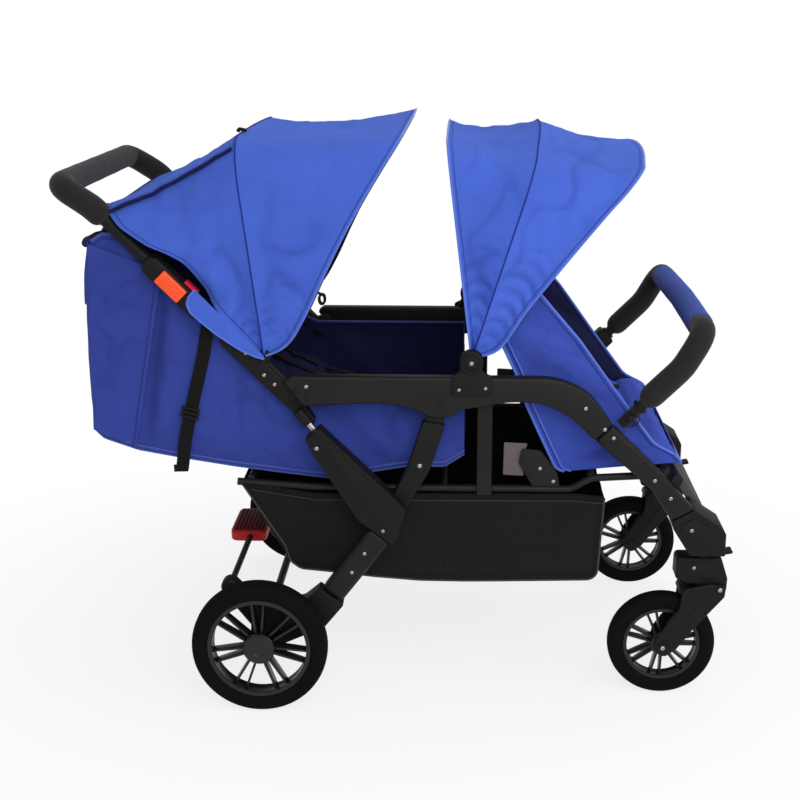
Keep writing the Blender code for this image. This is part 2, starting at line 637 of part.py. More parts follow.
def handle_bracket(side, name):
    """Moulding on the arm's lower end: it takes the tube, hinges on the rail and carries the hood's hub."""
    y_in, y_out = ARM_Y - 0.016, RAIL_INNER - 0.0005
    low, high = arm_point(-0.078), arm_point(0.072)
    body = plate(name, stadium(low, high, 0.0165, 0.0175, 4), *sides(side, y_in, y_out), BLACK_PLASTIC, 0.003)
    hub = plate(name + "_hub", stadium(arm_point(0.010), REAR_HUB, 0.0165, 0.014, 3), *sides(side, y_in + 0.006, y_out - 0.0004))
    ear = plate(name + "_ear", stadium(arm_point(-0.062), HANDLE_PIVOT, 0.015, 0.0125, 3), *sides(side, y_in + 0.004, y_out - 0.0008))
    root = along(ROD_SEAT, ROD_TILT, 0.060)
    barrel_low, barrel_high = along(ROD_SEAT, ROD_TILT, 0.015), along(ROD_SEAT, ROD_TILT, 0.046)
    web = plate(name + "_web", stadium(root, barrel_low, 0.014, 0.0095, 3), *sides(side, y_in + 0.002, y_out - 0.0012))
    barrel = bar(name + "_barrel", xz(barrel_low, side * RAIL_Y), xz(barrel_high, side * RAIL_Y), 0.0105, None, 12)
    neck = plate(name + "_neck", stadium(along(ROD_SEAT, ROD_TILT, 0.019), along(ROD_SEAT, ROD_TILT, 0.041), 0.006, 0.006, 2),
                 *sides(side, y_out - 0.006, RAIL_Y))
    pins = [disc(name + "_pin", HANDLE_PIVOT, PIN_RADIUS, *sides(side, y_out - 0.004, RAIL_OUTER + 0.002)),
            disc(name + "_hub_pin", REAR_HUB, PIN_RADIUS, *sides(side, y_out - 0.004, HOOD_OUTER - HOOD_SKIN - FIT))]
    union(body, hub, ear, web, barrel, neck, *pins)
    socket = bar(name + "_socket", xz(arm_point(0.030 - FIT), side * ARM_Y), xz(arm_point(0.120), side * ARM_Y), (TUBE_RADIUS + FIT) / math.cos(math.pi / 12), None, 12)
    guide = bar(name + "_guide", xz(along(ROD_SEAT, ROD_TILT, 0.010), side * RAIL_Y), xz(along(ROD_SEAT, ROD_TILT, 0.0445), side * RAIL_Y), ROD_RADIUS + FIT, None, 12)
    return cut(body, socket, guide)


def lock_rod(side, name):
    """Rod that holds the handle's foot on the gusset until the triggers lift it."""
    foot = along(ROD_SEAT, ROD_TILT, FIT)
    head = along(ROD_SEAT, ROD_TILT, 0.030)
    return bar(name, xz(foot, side * RAIL_Y), xz(head, side * RAIL_Y), ROD_RADIUS, BARE_STEEL, 12)


def fold_trigger(side, name):
    """Orange pull with finger ridges on the outer face of the latch collar."""
    y = ARM_Y + 0.0185 + FIT
    low, high = arm_point(0.196), arm_point(0.232)
    body = plate(name, stadium(low, high, 0.0135, 0.0135, 4), *sides(side, y, y + 0.008), ORANGE_PLASTIC, 0.002)
    ridges = [plate(name + "_ridge%d" % k, stadium(along(arm_point(0.202 + 0.010 * k), ARM_DIR + math.pi / 2, -0.008), along(arm_point(0.202 + 0.010 * k), ARM_DIR + math.pi / 2, 0.008), 0.0018, 0.0018, 1),
                    *sides(side, y + 0.006, y + 0.0095)) for k in range(3)]
    return union(body, *ridges)


def safety_slider(side, name):
    """Crimson slider on the upper flank of the latch collar."""
    a = along(arm_point(0.172), ARM_DIR - math.pi / 2, 0.0179 + FIT)
    b = along(arm_point(0.202), ARM_DIR - math.pi / 2, 0.0183 + FIT)
    c, d = along(b, ARM_DIR - math.pi / 2, 0.006), along(a, ARM_DIR - math.pi / 2, 0.006)
    return plate(name, fillet([(*a, 0.0), (*b, 0.0), (*c, 0.003), (*d, 0.003)], 2), *sides(side, ARM_Y - 0.009, ARM_Y + 0.011), CRIMSON_PLASTIC)


# Hoods

def rib(hub, angle, reach, crown, corner, half, start, drop=0.0, shift=0.0, inward=0.0):
    """One bow-shaped line of a hood, from its right hub over the top to its left hub.

    reach is the distance from hub to corner, crown what the middle adds to it, drop how many degrees the
    middle hangs behind the sides, shift a move square to the rib and inward a move towards the hood's inside.
    """
    half -= inward
    reach -= inward
    corner = max(corner - inward, 0.01)
    flat = half - corner
    line = []
    for k in range(4):
        line.append((start + (reach - corner - start) * k / 3, half))
    for k in range(1, 4):
        turn = math.pi / 2 * k / 4
        line.append((reach - corner + corner * math.sin(turn), flat + corner * math.cos(turn)))
    for k in range(4):
        line.append((reach, flat * (1 - k / 3)))
    points = []
    for out, y in line:
        part = max(0.0, 1 - (y / flat) ** 2)
        heading = math.radians(angle + drop * part)
        out += crown * part
        x = hub[0] + out * math.cos(heading) + shift * math.sin(heading)
        z = hub[1] + out * math.sin(heading) - shift * math.cos(heading)
        points.append(Vector((x, -y, z)))
    return points + [Vector((p.x, -p.y, p.z)) for p in reversed(points[:-1])]


def between(first, last, count, sag):
    """Ribs between two bows, drawn in by sag half way, as cloth is under tension."""
    ribs = []
    for i in range(count + 1):
        t = i / count
        row = []
        for k, (a, b) in enumerate(zip(first, last)):
            p = a.lerp(b, t)
            edge = min(k, len(first) - 1 - k) / (len(first) - 1) * 2
            pull = sag * 4 * t * (1 - t) * min(1.0, edge * 1.6)
            inward = Vector((0, -math.copysign(1.0, p.y) if edge < 0.6 else 0.0, -1.0 if edge > 0.35 else 0.0))
            row.append(p + inward * pull)
        ribs.append(row)
    return ribs


REAR_FRONT = dict(reach=0.466, crown=0.026, corner=0.050)
REAR_MID = dict(reach=0.396, crown=0.004, corner=0.060)
REAR_BACK = dict(reach=0.372, crown=0.026, corner=0.050)
FRONT_FRONT = dict(reach=0.456, crown=0.023, corner=0.070)
FRONT_MID = dict(reach=0.378, crown=0.042, corner=0.090)
FRONT_BACK = dict(reach=0.388, crown=0.004, corner=0.070)


def hood_panel(name, hub, first, last, gap_first, gap_last, start, count, sag, drop=0.0):
    a = rib(hub, first[0], half=HOOD_OUTER, start=start, shift=gap_first, **first[1])
    b = rib(hub, last[0], half=HOOD_OUTER, start=start, shift=gap_last, drop=drop, **last[1])
    return sheet(name, between(a, b, count, sag), HOOD_SKIN, BLUE_CLOTH)


def hood_bow(name, hub, angle, shape):
    """Flat hubs on the pivots with the bow rod between them, just inside the cloth's front hem."""
    depth = HOOD_OUTER - BOW_Y
    path = rib(hub, angle, half=HOOD_OUTER, start=0.006, inward=depth, **dict(shape, reach=shape["reach"] - BOW_SINK))
    bow = tube(name, path, BOW_RADIUS, BLACK_PLASTIC, 4)
    for side in (-1, 1):
        y0, y1 = sides(side, BOW_Y - 0.0030, HOOD_OUTER - HOOD_SKIN - FIT)
        union(bow, disc(name + "_hub%d" % side, hub, HUB_RADIUS, y0, y1))
    for side in (-1, 1):
        cut(bow, disc(name + "_eye%d" % side, hub, PIN_RADIUS + FIT, *sides(side, BOW_Y - 0.02, BOW_Y + 0.02)))
    return bow


def canopy_post(side, name):
    """Post on the side rail with the round hub of the front hood."""
    x, z = FRONT_HUB
    inner = HOOD_OUTER + FIT * 2
    y_plate = RAIL_OUTER + FIT
    cheek = plate(name, fillet([(x - 0.036, 0.600, 0.006), (x + 0.038, 0.600, 0.006), (x + 0.036, 0.637, 0.006), (x + 0.018, 0.645, 0.010),
                                (x - 0.018, 0.645, 0.010), (x - 0.034, 0.637, 0.006)]), *sides(side, y_plate, y_plate + 0.006), BLACK_PLASTIC)
    base = RAIL_TOP - SADDLE_DEPTH + FIT
    neck = plate(name + "_neck", fillet([(x - 0.026, base, 0.002), (x + 0.026, base, 0.002), (x + 0.014, z, 0.0), (x - 0.014, z, 0.0)]),
                 *sides(side, inner + 0.001, y_plate + 0.005))
    hub = disc(name + "_hub", FRONT_HUB, 0.0215, *sides(side, inner, y_plate + 0.010), steps=14)
    pin = disc(name + "_pin", FRONT_HUB, PIN_RADIUS, *sides(side, BOW_Y - 0.004, inner + 0.003))
    return union(cheek, neck, hub, pin)


# Soft goods

def tub_outline():
    """Side view of the rear seat's tub: slung floor, high back, top edge behind the rail and the arm."""
    top_rear = arm_point(0.352)
    return [(-0.552, 0.866, 0.006), (-0.561, 0.760, 0.100), (-0.566, 0.512, 0.020), (-0.484, 0.472, 0.060), (-0.304, 0.442, 0.060),
            (-0.114, 0.4175, 0.040), (-0.060, 0.432, 0.040), (0.026, 0.447, 0.040), (0.090, 0.444, 0.030), (0.127, 0.470, 0.015),
            (0.126, 0.606, 0.004), (-0.196, 0.606, 0.030), (top_rear[0], top_rear[1] - 0.010, 0.020)]


def rear_seat_tub():
    corners = tub_outline()
    pocket = [(-0.552, 0.866, 0.003), (-0.572, 0.862, 0.008), (-0.577, 0.775, 0.020), (-0.566, 0.738, 0.020), (-0.571, 0.640, 0.060),
              (-0.576, 0.512, 0.014)]
    outline = fillet(pocket + corners[3:])
    inner = inset(corners, TUB_WALL)
    # The opening leaves the tub by its top edge, so the inner outline's top is lifted clear of it.
    lifted = fillet(inner[:10] + [(inner[10][0], 0.680, 0.0), (-0.196, 0.680, 0.0), (inner[0][0], inner[0][1] + 0.150, 0.0)], 3)
    tub = plate("rear_seat_tub", outline, -TUB_HALF, TUB_HALF, BLUE_CLOTH, 0.003)
    hollow = plate("rear_seat_tub_hollow", lifted, -TUB_HALF + TUB_WALL, TUB_HALF - TUB_WALL)
    return cut(tub, hollow)


def front_seat_shell():
    """Seat cloth with side wings: a trough that is open to the back, where the backrest stands, and to the top."""
    outline = fillet([
        (0.128, 0.836, 0.006), (0.194, 0.680, 0.200), (0.241, 0.565, 0.200), (0.300, 0.437, 0.020), (0.415, 0.447, 0.060), (0.528, 0.456, 0.004),
        (0.530, 0.470, 0.006), (0.477, 0.494, 0.040), (0.410, 0.584, 0.200), (0.333, 0.690, 0.200), (0.240, 0.800, 0.060), (0.170, 0.850, 0.020)])
    floor = SEAT_WALL
    hollow = [(0.060, 0.900), (0.222, 0.560), (0.300, 0.437 + floor), (0.415, 0.447 + floor), (0.560, 0.4585 + floor), (0.560, 0.900)]
    body = plate("front_seat_shell", outline, -SEAT_HALF, SEAT_HALF, BLUE_CLOTH, 0.002)
    room = plate("front_seat_shell_hollow", hollow, -SEAT_HALF + SEAT_WALL, SEAT_HALF - SEAT_WALL)
    return cut(body, room)


def place(obj, pivot, angle):
    """Set an object that was modelled along X at its hinge, turned up by an angle in degrees."""
    obj.location = (pivot[0], 0, pivot[1])
    obj.rotation_euler = (0, -math.radians(angle), 0)
    return obj


def shifted(obj, offset):
    obj.data.transform(Matrix.Translation(offset))
    return obj


def backrest(name, pivot, length, angle, thick):
    """Padded back for two children, standing on its hinge line."""
    obj = cushion(name, (length, 2 * PAD_HALF), thick, BLUE_CLOTH, (0.0,), 6, 16, 0.45, -1)
    shifted(obj, (length / 2 + 0.004, 0, 0))
    return place(obj, pivot, angle)


def basket():
    corners = [
        (-0.288, 0.4170, 0.002), (-0.206, 0.289, 0.020), (-0.190, 0.247, 0.030), (-0.118, 0.242, 0.060), (0.046, 0.2255, 0.080), (0.210, 0.229, 0.080),
        (0.378, 0.234, 0.012), (0.387, 0.3960, 0.002), (0.333, 0.4010, 0.0), (-0.150, 0.3965, 0.0)]
    inner = inset(corners, BASKET_WALL)
    lifted = fillet(inner[1:7] + [(inner[7][0] + 0.001, 0.450, 0.0), (inner[0][0] - 0.020, 0.450, 0.0)], 3)
    body = plate("basket", fillet(corners, 3), -BASKET_HALF, BASKET_HALF, BLACK_CLOTH, 0.0015)
    hollow = plate("basket_hollow", lifted, -BASKET_HALF + BASKET_WALL, BASKET_HALF - BASKET_WALL)
    return cut(body, hollow)


def seat_frame():
    """Tubes under the seats: a side tube each side, crossbars, hangers to the rails and the recline plates."""
    frame = None
    for side in (-1, 1):
        y = side * FRAME_Y
        path = smooth_path([(-0.296, y, 0.4290, 0), (-0.150, y, 0.4065, 0.100), (0.325, y, 0.4105, 0.040), (0.362, y, 0.4330, 0.040),
                            (0.476, y, 0.4400, 0)], 3)
        rail = tube("seat_frame" if side < 0 else "seat_frame_left", path, FRAME_TUBE, BLACK_PAINT if side < 0 else None, 6)
        hanger = plate("seat_frame_hanger%d" % side, fillet([
            (0.150, 0.400, 0.003), (0.178, 0.400, 0.003), (0.178, 0.612, 0.008), (0.150, 0.612, 0.008)], 1),
            *sides(side, FRAME_Y + 0.001, RAIL_INNER - FIT))
        fan = plate("seat_frame_fan%d" % side, fillet([
            (0.258, 0.408, 0.010), (0.305, 0.412, 0.010), (0.300, 0.440, 0.010), (0.268, 0.485, 0.008), (0.232, 0.489, 0.010), (0.228, 0.460, 0.010)], 1),
            *sides(side, FRAME_Y - 0.003, FRAME_Y + 0.003))
        boss = disc("seat_frame_boss%d" % side, (0.468, 0.4400), 0.0095, *sides(side, FRAME_Y - 0.005, RAIL_INNER - FIT), steps=8)
        if frame is None:
            frame = rail
        else:
            union(frame, rail)
        union(frame, hanger, fan, boss)
    for k, (x, z) in enumerate(((-0.270, 0.4370 - 0.0135), (-0.114, 0.4175 - FIT - FRAME_TUBE), (0.090, 0.4115), (0.362, 0.4354))):
        union(frame, bar("seat_frame_cross%d" % k, (x, -FRAME_Y, z), (x, FRAME_Y, z), FRAME_TUBE - 0.0005, None, 6))
    return frame


# Front end pieces

def footrest():
    """Ribbed plate that hinges on pins between the front legs."""
    depth = FOOTREST_THICK / 2
    end = FOOTREST_LENGTH
    ribs = 10
    outline = [(-0.010, -depth + 0.003), (-0.008, depth - 0.001)]
    for k in range(ribs):
        x = 0.012 + (end - 0.022) * k / (ribs - 1)
        outline += [(x - 0.0035, depth - 0.002), (x - 0.0015, depth), (x + 0.0015, depth), (x + 0.0035, depth - 0.002)]
    outline += [(end, depth - 0.004), (end, -depth + 0.004), (end - 0.004, -depth)]
    obj = plate("footrest", outline, -FOOTREST_HALF, FOOTREST_HALF, GREY_PLASTIC)
    pin = disc("footrest_pin", (0, 0), PIN_RADIUS, -RAIL_INNER - 0.001, RAIL_INNER + 0.001)
    for part in (obj, pin):
        place(part, FOOTREST_PIVOT, -57.4)
    return union(obj, pin)


def bumper_path(start):
    x, z = BUMPER_FOOT
    a = along(BUMPER_FOOT, math.radians(45), start)
    return [(a[0], -BUMPER_Y, a[1], 0), (x + 0.112, -BUMPER_Y, z + 0.112, 0.110), (x + 0.148, -BUMPER_Y, z + 0.176, 0.060), (x + 0.151, 0, z + 0.1795, 0)]


def bumper_bar():
    foam = tube("bumper_bar", mirrored(smooth_path(bumper_path(0.083), 3)), BUMPER_FOAM, BLACK_FOAM, 10)
    for side in (-1, 1):
        low, high = along(BUMPER_FOOT, math.radians(45), 0.007), along(BUMPER_FOOT, math.radians(45), 0.095)
        union(foam, bar("bumper_end%d" % side, xz(low, side * BUMPER_Y), xz(high, side * BUMPER_Y), BUMPER_TUBE, None, 12))
    return foam


def bumper_socket(side, name):
    angle = math.radians(45)
    foot = Vector(BUMPER_FOOT)
    up = Vector((math.cos(angle), math.sin(angle)))
    across = Vector((-up.y, up.x))
    corners = [foot - up * 0.0002 + across * 0.021, foot - up * 0.0012 - across * 0.021, foot + up * SOCKET_DEPTH - across * 0.0195, foot + up * SOCKET_DEPTH + across * 0.0195]
    body = plate(name, fillet([(*c, r) for c, r in zip(corners, (0.004, 0.004, 0.006, 0.006))]), *sides(side, BUMPER_Y - 0.018, BUMPER_Y + 0.018), BLACK_PLASTIC, 0.004)
    bore = bar(name + "_bore", xz(foot + up * 0.006, side * BUMPER_Y), xz(foot + up * 0.080, side * BUMPER_Y), BUMPER_TUBE + FIT, None, 12)
    button = disc(name + "_button_hole", tuple(foot + up * 0.030), 0.0065 + FIT, *sides(side, BUMPER_Y + 0.0122, BUMPER_Y + 0.03))
    return cut(body, bore, button)


def bumper_button(side, name):
    centre = along(BUMPER_FOOT, math.radians(45), 0.030)
    return disc(name, centre, 0.0065, *sides(side, BUMPER_Y + 0.0172, BUMPER_Y + 0.0206), RED_PLASTIC, 14)


def swivel_lever(side, name):
    """Small lever on the caster block's nose that blocks the swivel when it is pressed down."""
    y = side * FRONT_TRACK / 2
    return plate(name, stadium(LEVER_PIVOT, (LEVER_PIVOT[0] + 0.024, LEVER_PIVOT[1] + 0.005), 0.0027, 0.0030, 3), y - 0.012, y + 0.012, BLACK_PLASTIC)


# Axle and brake

def rear_axle():
    """One shaft: thick between and through the housings, thin where the wheels turn on it."""
    end = REAR_TRACK / 2 + REAR_WIDTH * 0.52 - 0.0055
    shoulder = GUSSET_OUTER + 0.002
    profile = [(0.0001, -end), (AXLE_PIN_RADIUS, -end), (AXLE_PIN_RADIUS, -shoulder), (AXLE_RADIUS, -shoulder),
               (AXLE_RADIUS, shoulder), (AXLE_PIN_RADIUS, shoulder), (AXLE_PIN_RADIUS, end), (0.0001, end)]
    return turned("rear_axle", profile, REAR_AXLE, BLACK_PAINT, 12)


def brake_pedal():
    """Foot pedal with ribs across its top, fixed on the shaft that runs to both housings."""
    half = PEDAL_LENGTH / 2
    outline = [(-half, 0.004), (-half + 0.006, -0.010), (half - 0.010, -0.010), (half, 0.002)]
    pitch = (PEDAL_LENGTH - 0.014) / PEDAL_RIBS
    for k in range(PEDAL_RIBS):
        x = half - 0.007 - pitch * k
        outline += [(x, 0.0150), (x - pitch * 0.45, 0.0150), (x - pitch * 0.55, 0.0125), (x - pitch * 0.9, 0.0125)]
    pedal = plate("brake_pedal", outline, -PEDAL_WIDTH / 2, PEDAL_WIDTH / 2, RED_PLASTIC)
    shifted(pedal, (-0.004, 0, 0))
    reach = GUSSET_OUTER + 0.002
    shaft = disc("brake_shaft", (0, 0), SHAFT_RADIUS, -reach, reach)
    for part in (pedal, shaft):
        place(part, BRAKE_AXIS, 0)
    return union(pedal, shaft)


# Assembly

def origin_at(name, x, y, z):
    """Move an object's origin onto its joint's axis and leave its shape where it is."""
    obj = bpy.data.objects[name]
    point = Vector((x, y, z))
    obj.data.transform(Matrix.Translation(obj.location - point))
    obj.location = point


SIDES = ((-1, "right"), (1, "left"))
REAR_SEAT = REAR_RADIUS - 0.0315
REAR_LIP = REAR_RADIUS - 0.0390
FRONT_SEAT = FRONT_RADIUS - 0.0300
FRONT_LIP = FRONT_RADIUS - 0.0361


def build():
    for side, word in SIDES:
        side_rail(side, "side_rail_" + word)
        front_leg(side, "front_leg_" + word)
        front_joint(side, "front_joint_" + word)
        canopy_post(side, "canopy_post_" + word)
        bumper_socket(side, "bumper_socket_" + word)
        bumper_button(side, "bumper_button_" + word)
        handle_bracket(side, "handle_bracket_" + word)
        lock_rod(side, "lock_rod_" + word)
        fold_trigger(side, "fold_trigger_" + word)
        safety_slider(side, "safety_slider_" + word)
        rear_gusset(side, "rear_gusset_" + word)
        rear_leg(side, "rear_leg_" + word)
        rear_housing(side, "rear_housing_" + word)
        tyre(side, "rear_tyre_" + word, REAR_AXLE, REAR_RADIUS, REAR_WIDTH, REAR_SEAT, REAR_TRACK)
        rim(side, "rear_rim_" + word, REAR_AXLE, REAR_SEAT, REAR_LIP, REAR_WIDTH, REAR_TRACK, 0.020, 0.030, AXLE_PIN_RADIUS,
            math.radians(7.5), -12.0, True)
        caster_block(side, "caster_block_" + word)
        swivel_lever(side, "swivel_lever_" + word)
        fork(side, "fork_" + word)
        tyre(side, "front_tyre_" + word, FRONT_AXLE, FRONT_RADIUS, FRONT_WIDTH, FRONT_SEAT, FRONT_TRACK)
        rim(side, "front_rim_" + word, FRONT_AXLE, FRONT_SEAT, FRONT_LIP, FRONT_WIDTH, FRONT_TRACK, 0.016, 0.022, PIN_RADIUS,
            math.radians(8.0), 5.0, False)
    handle_tube()
    handle_foam()
    seat_frame()
    rear_seat_tub()
    front_seat_shell()
    basket()
    rear_axle()
    brake_pedal()
    footrest()
    bumper_bar()
    hood_bow("rear_canopy_bow", REAR_HUB, REAR_FRONT_ANGLE, REAR_FRONT)
    hood_bow("front_canopy_bow", FRONT_HUB, FRONT_FRONT_ANGLE, FRONT_FRONT)
    hood_panel("rear_canopy_front", REAR_HUB, (REAR_FRONT_ANGLE, REAR_FRONT), (REAR_MID_ANGLE, REAR_MID), 0.0, 0.0004, 0.013, 3, 0.010)
    hood_panel("rear_canopy_back", REAR_HUB, (REAR_MID_ANGLE, REAR_MID), (REAR_BACK_ANGLE, REAR_BACK), -0.0004, 0.0, 0.013, 3, 0.006, 11.0)
    hood_panel("front_canopy_front", FRONT_HUB, (FRONT_FRONT_ANGLE, FRONT_FRONT), (FRONT_MID_ANGLE, FRONT_MID), 0.0, 0.0004, 0.014, 3, 0.006)
    hood_panel("front_canopy_back", FRONT_HUB, (FRONT_MID_ANGLE, FRONT_MID), (FRONT_BACK_ANGLE, FRONT_BACK), -0.0004, 0.0, 0.014, 3, 0.006)
    rear_pad = cushion("rear_seat_pad", (0.215, 2 * PAD_HALF), 0.030, BLUE_CLOTH, (0.0,), 6, 14, 0.25)
    place(rear_pad, (-0.012, 0.4600), 4.0)
    front_pad = cushion("front_seat_pad", (0.205, 2 * PAD_HALF), 0.034, BLUE_CLOTH, (0.0,), 6, 14, 0.22)
    place(front_pad, (0.423, 0.4608), 4.8)
    backrest("rear_backrest", REAR_HINGE, 0.390, 155.0, 0.026)
    backrest("front_backrest", FRONT_HINGE, 0.385, 113.0, 0.024)
    for side, word in SIDES:
        y = side * FRONT_TRACK / 2
        origin_at("caster_block_" + word, SWIVEL_X, y, 0.255)
        origin_at("fork_" + word, KNUCKLE[0], y, KNUCKLE[1])
        origin_at("swivel_lever_" + word, LEVER_PIVOT[0], y, LEVER_PIVOT[1])
        for piece in ("rear_gusset_", "rear_leg_", "rear_housing_"):
            origin_at(piece + word, LINK_PIVOT[0], 0, LINK_PIVOT[1])
        origin_at("handle_bracket_" + word, HANDLE_PIVOT[0], 0, HANDLE_PIVOT[1])
    origin_at("rear_axle", LINK_PIVOT[0], 0, LINK_PIVOT[1])
    for piece in ("handle_tube", "handle_foam", "rear_canopy_back"):
        origin_at(piece, HANDLE_PIVOT[0], 0, HANDLE_PIVOT[1])
    for piece in ("rear_canopy_bow", "rear_canopy_front"):
        origin_at(piece, REAR_HUB[0], 0, REAR_HUB[1])
    for piece in ("front_canopy_bow", "front_canopy_front"):
        origin_at(piece, FRONT_HUB[0], 0, FRONT_HUB[1])


build()
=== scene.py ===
"""Dressed model of a quadruple stroller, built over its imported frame.

X runs forward, Y to the stroller's left and Z up, in metres. Pieces that come in pairs are made once per side,
with side = -1 for the right hand side and +1 for the left.
"""
import math

import bpy
from mathutils import Matrix, Vector, noise


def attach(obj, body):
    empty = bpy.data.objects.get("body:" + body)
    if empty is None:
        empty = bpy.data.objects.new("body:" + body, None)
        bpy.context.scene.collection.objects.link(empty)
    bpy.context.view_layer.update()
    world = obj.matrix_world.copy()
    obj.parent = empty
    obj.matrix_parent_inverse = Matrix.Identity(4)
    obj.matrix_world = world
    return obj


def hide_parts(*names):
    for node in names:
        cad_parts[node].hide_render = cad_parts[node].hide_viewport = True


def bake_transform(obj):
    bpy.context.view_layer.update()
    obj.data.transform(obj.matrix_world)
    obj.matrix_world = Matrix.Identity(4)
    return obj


bl_info = {"name": "Quadruple Stroller", "version": (1, 0, 0), "blender": (4, 5, 0),
    "location": "3D View > Sidebar > Stroller",
    "description": "Builds the cloth, wheels, mouldings and stage of a four seat stroller",
    "category": "Add Mesh",}

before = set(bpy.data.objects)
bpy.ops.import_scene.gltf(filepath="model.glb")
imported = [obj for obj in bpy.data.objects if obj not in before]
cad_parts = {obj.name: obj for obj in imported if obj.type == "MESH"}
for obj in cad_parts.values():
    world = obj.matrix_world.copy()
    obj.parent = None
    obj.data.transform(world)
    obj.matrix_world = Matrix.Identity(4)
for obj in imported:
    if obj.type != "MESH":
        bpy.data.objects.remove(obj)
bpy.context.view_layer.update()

SIDES = ((-1, "right"), (1, "left"))
HANDLE_PIVOT = (-0.181, 0.605)
LINK_PIVOT = (0.082, 0.583)
REAR_HUB = (-0.237, 0.665)
FRONT_HUB = (0.138, 0.661)
REAR_AXLE = (-0.25, 0.127)
FRONT_AXLE = (0.506, 0.1016)
KNUCKLE = (0.607, 0.222)
FOOTREST_PIVOT = (0.518, 0.436)
BUMPER_FOOT = (0.4045, 0.5375)
BRAKE_AXIS = (-0.31, 0.225)
ARM_Y = 0.28
RAIL_Y = 0.306
RAIL_INNER = 0.293
RAIL_OUTER = 0.319
ARM_DIR = math.radians(135)
SLOPE = math.radians(45)
REAR_HINGE = (-0.13, 0.475)
FRONT_HINGE = (0.3, 0.462)
REAR_TRACK, FRONT_TRACK = 0.74, 0.536
CASTER_Y = 0.268
BUMPER_Y = 0.3
SEAT_TUBE_Y = 0.28
HOOD_HALF = 0.3038
CUSHION_WIDTH = 0.5124
# Middle or hinge of each cushion, and its slope in degrees
REAR_PAD, FRONT_PAD = ((-0.012, 0.46), 4.0), ((0.423, 0.4608), 4.8)
REAR_PAD_RISE, FRONT_PAD_RISE = 0.03, 0.034
REAR_BACKREST, FRONT_BACKREST = (REAR_HINGE, 155.0), (FRONT_HINGE, 113.0)
# Distance of each child's middle from the stroller's
CHILD_Y = 0.128
# Lower end and heading of the rod that locks the fold
ROD_SEAT, ROD_DIR = (-0.148, 0.5285), math.radians(129.8)
# Points along a hood's line: up its side, round its corner, and over to the middle
RIB_STEPS = (42, 12, 16)
# Cloths that have the lining on their inside; the lining's very dark navy is painted shade
LINED = ("cloth", "seat cloth", "wing cloth")


# Sizes and colours that a user would change

TINT = {"subtype": "COLOR", "size": 3, "min": 0, "max": 1}


class StrollerCloth(bpy.types.PropertyGroup):
    colour: bpy.props.FloatVectorProperty(name="Cloth colour", description="Colour of the hoods and seats",
        default=(0.058, 0.128, 0.6), **TINT)
    # The seam colour also serves as the painted shade in deep folds and hem grooves
    shade: bpy.props.FloatVectorProperty(name="Seam colour",
        description="Colour of seams, piping and deep folds", default=(0.01, 0.018, 0.17), **TINT)
    # The seat colour is a darker copy of the cloth colour, as painted shade on the seat's less lit walls
    seat: bpy.props.FloatVectorProperty(name="Seat colour", description="Colour of the seat tub and pocket",
        default=(0.03, 0.055, 0.31), **TINT)
    hem: bpy.props.FloatProperty(name="Hem line",
        description="Distance of the stitched line from a cloth's edge", unit="LENGTH", min=0.002, max=0.02,
        default=0.0085)
    thickness: bpy.props.FloatProperty(name="Cloth thickness", description="Thickness of hood and seat cloth",
        unit="LENGTH", min=0.0005, max=0.004, default=0.0016)
    folds: bpy.props.FloatProperty(name="Fold depth", description="Depth of the folds in the cloth",
        unit="LENGTH", min=0.0, max=0.01, default=0.0055)


class StrollerFrame(bpy.types.PropertyGroup):
    colour: bpy.props.FloatVectorProperty(name="Frame colour", description="Colour of the painted tubes",
        default=(0.0082, 0.0078, 0.0074), **TINT)
    plastic: bpy.props.FloatVectorProperty(name="Moulding colour",
        description="Colour of the plastic mouldings", default=(0.0058, 0.0055, 0.0052), **TINT)
    edge: bpy.props.FloatProperty(name="Edge rounding", description="Radius on the long edges of the frame",
        unit="LENGTH", min=0.001, max=0.008, default=0.005)
    screw: bpy.props.FloatProperty(name="Screw head", description="Radius of a screw's head", unit="LENGTH",
        min=0.002, max=0.006, default=0.0035)


class StrollerWheel(bpy.types.PropertyGroup):
    rear_radius: bpy.props.FloatProperty(name="Rear radius", description="Outer radius of a rear tyre",
        unit="LENGTH", min=0.12, max=0.13, default=0.127)
    front_radius: bpy.props.FloatProperty(name="Front radius", description="Outer radius of a front tyre",
        unit="LENGTH", min=0.095, max=0.105, default=0.1016)
    spoke: bpy.props.FloatProperty(name="Spoke width", description="Width of one spoke", unit="LENGTH",
        min=0.003, max=0.008, default=0.0046)
    rubber: bpy.props.FloatVectorProperty(name="Tyre colour", description="Colour of the tyres",
        default=(0.0042, 0.004, 0.0036), **TINT)


class StrollerStage(bpy.types.PropertyGroup):
    floor: bpy.props.FloatVectorProperty(name="Floor colour", description="Colour of floor and backdrop",
        default=(0.86, 0.86, 0.87), **TINT)
    key: bpy.props.FloatProperty(name="Key light", description="Power of the large lamp over the camera",
        subtype="POWER", min=0, max=2000, default=66)
    fill: bpy.props.FloatProperty(name="World light", description="Strength of the light from all around",
        min=0, max=3, default=0.47)


def cloth_kit():
    return bpy.context.scene.stroller_cloth


# Materials

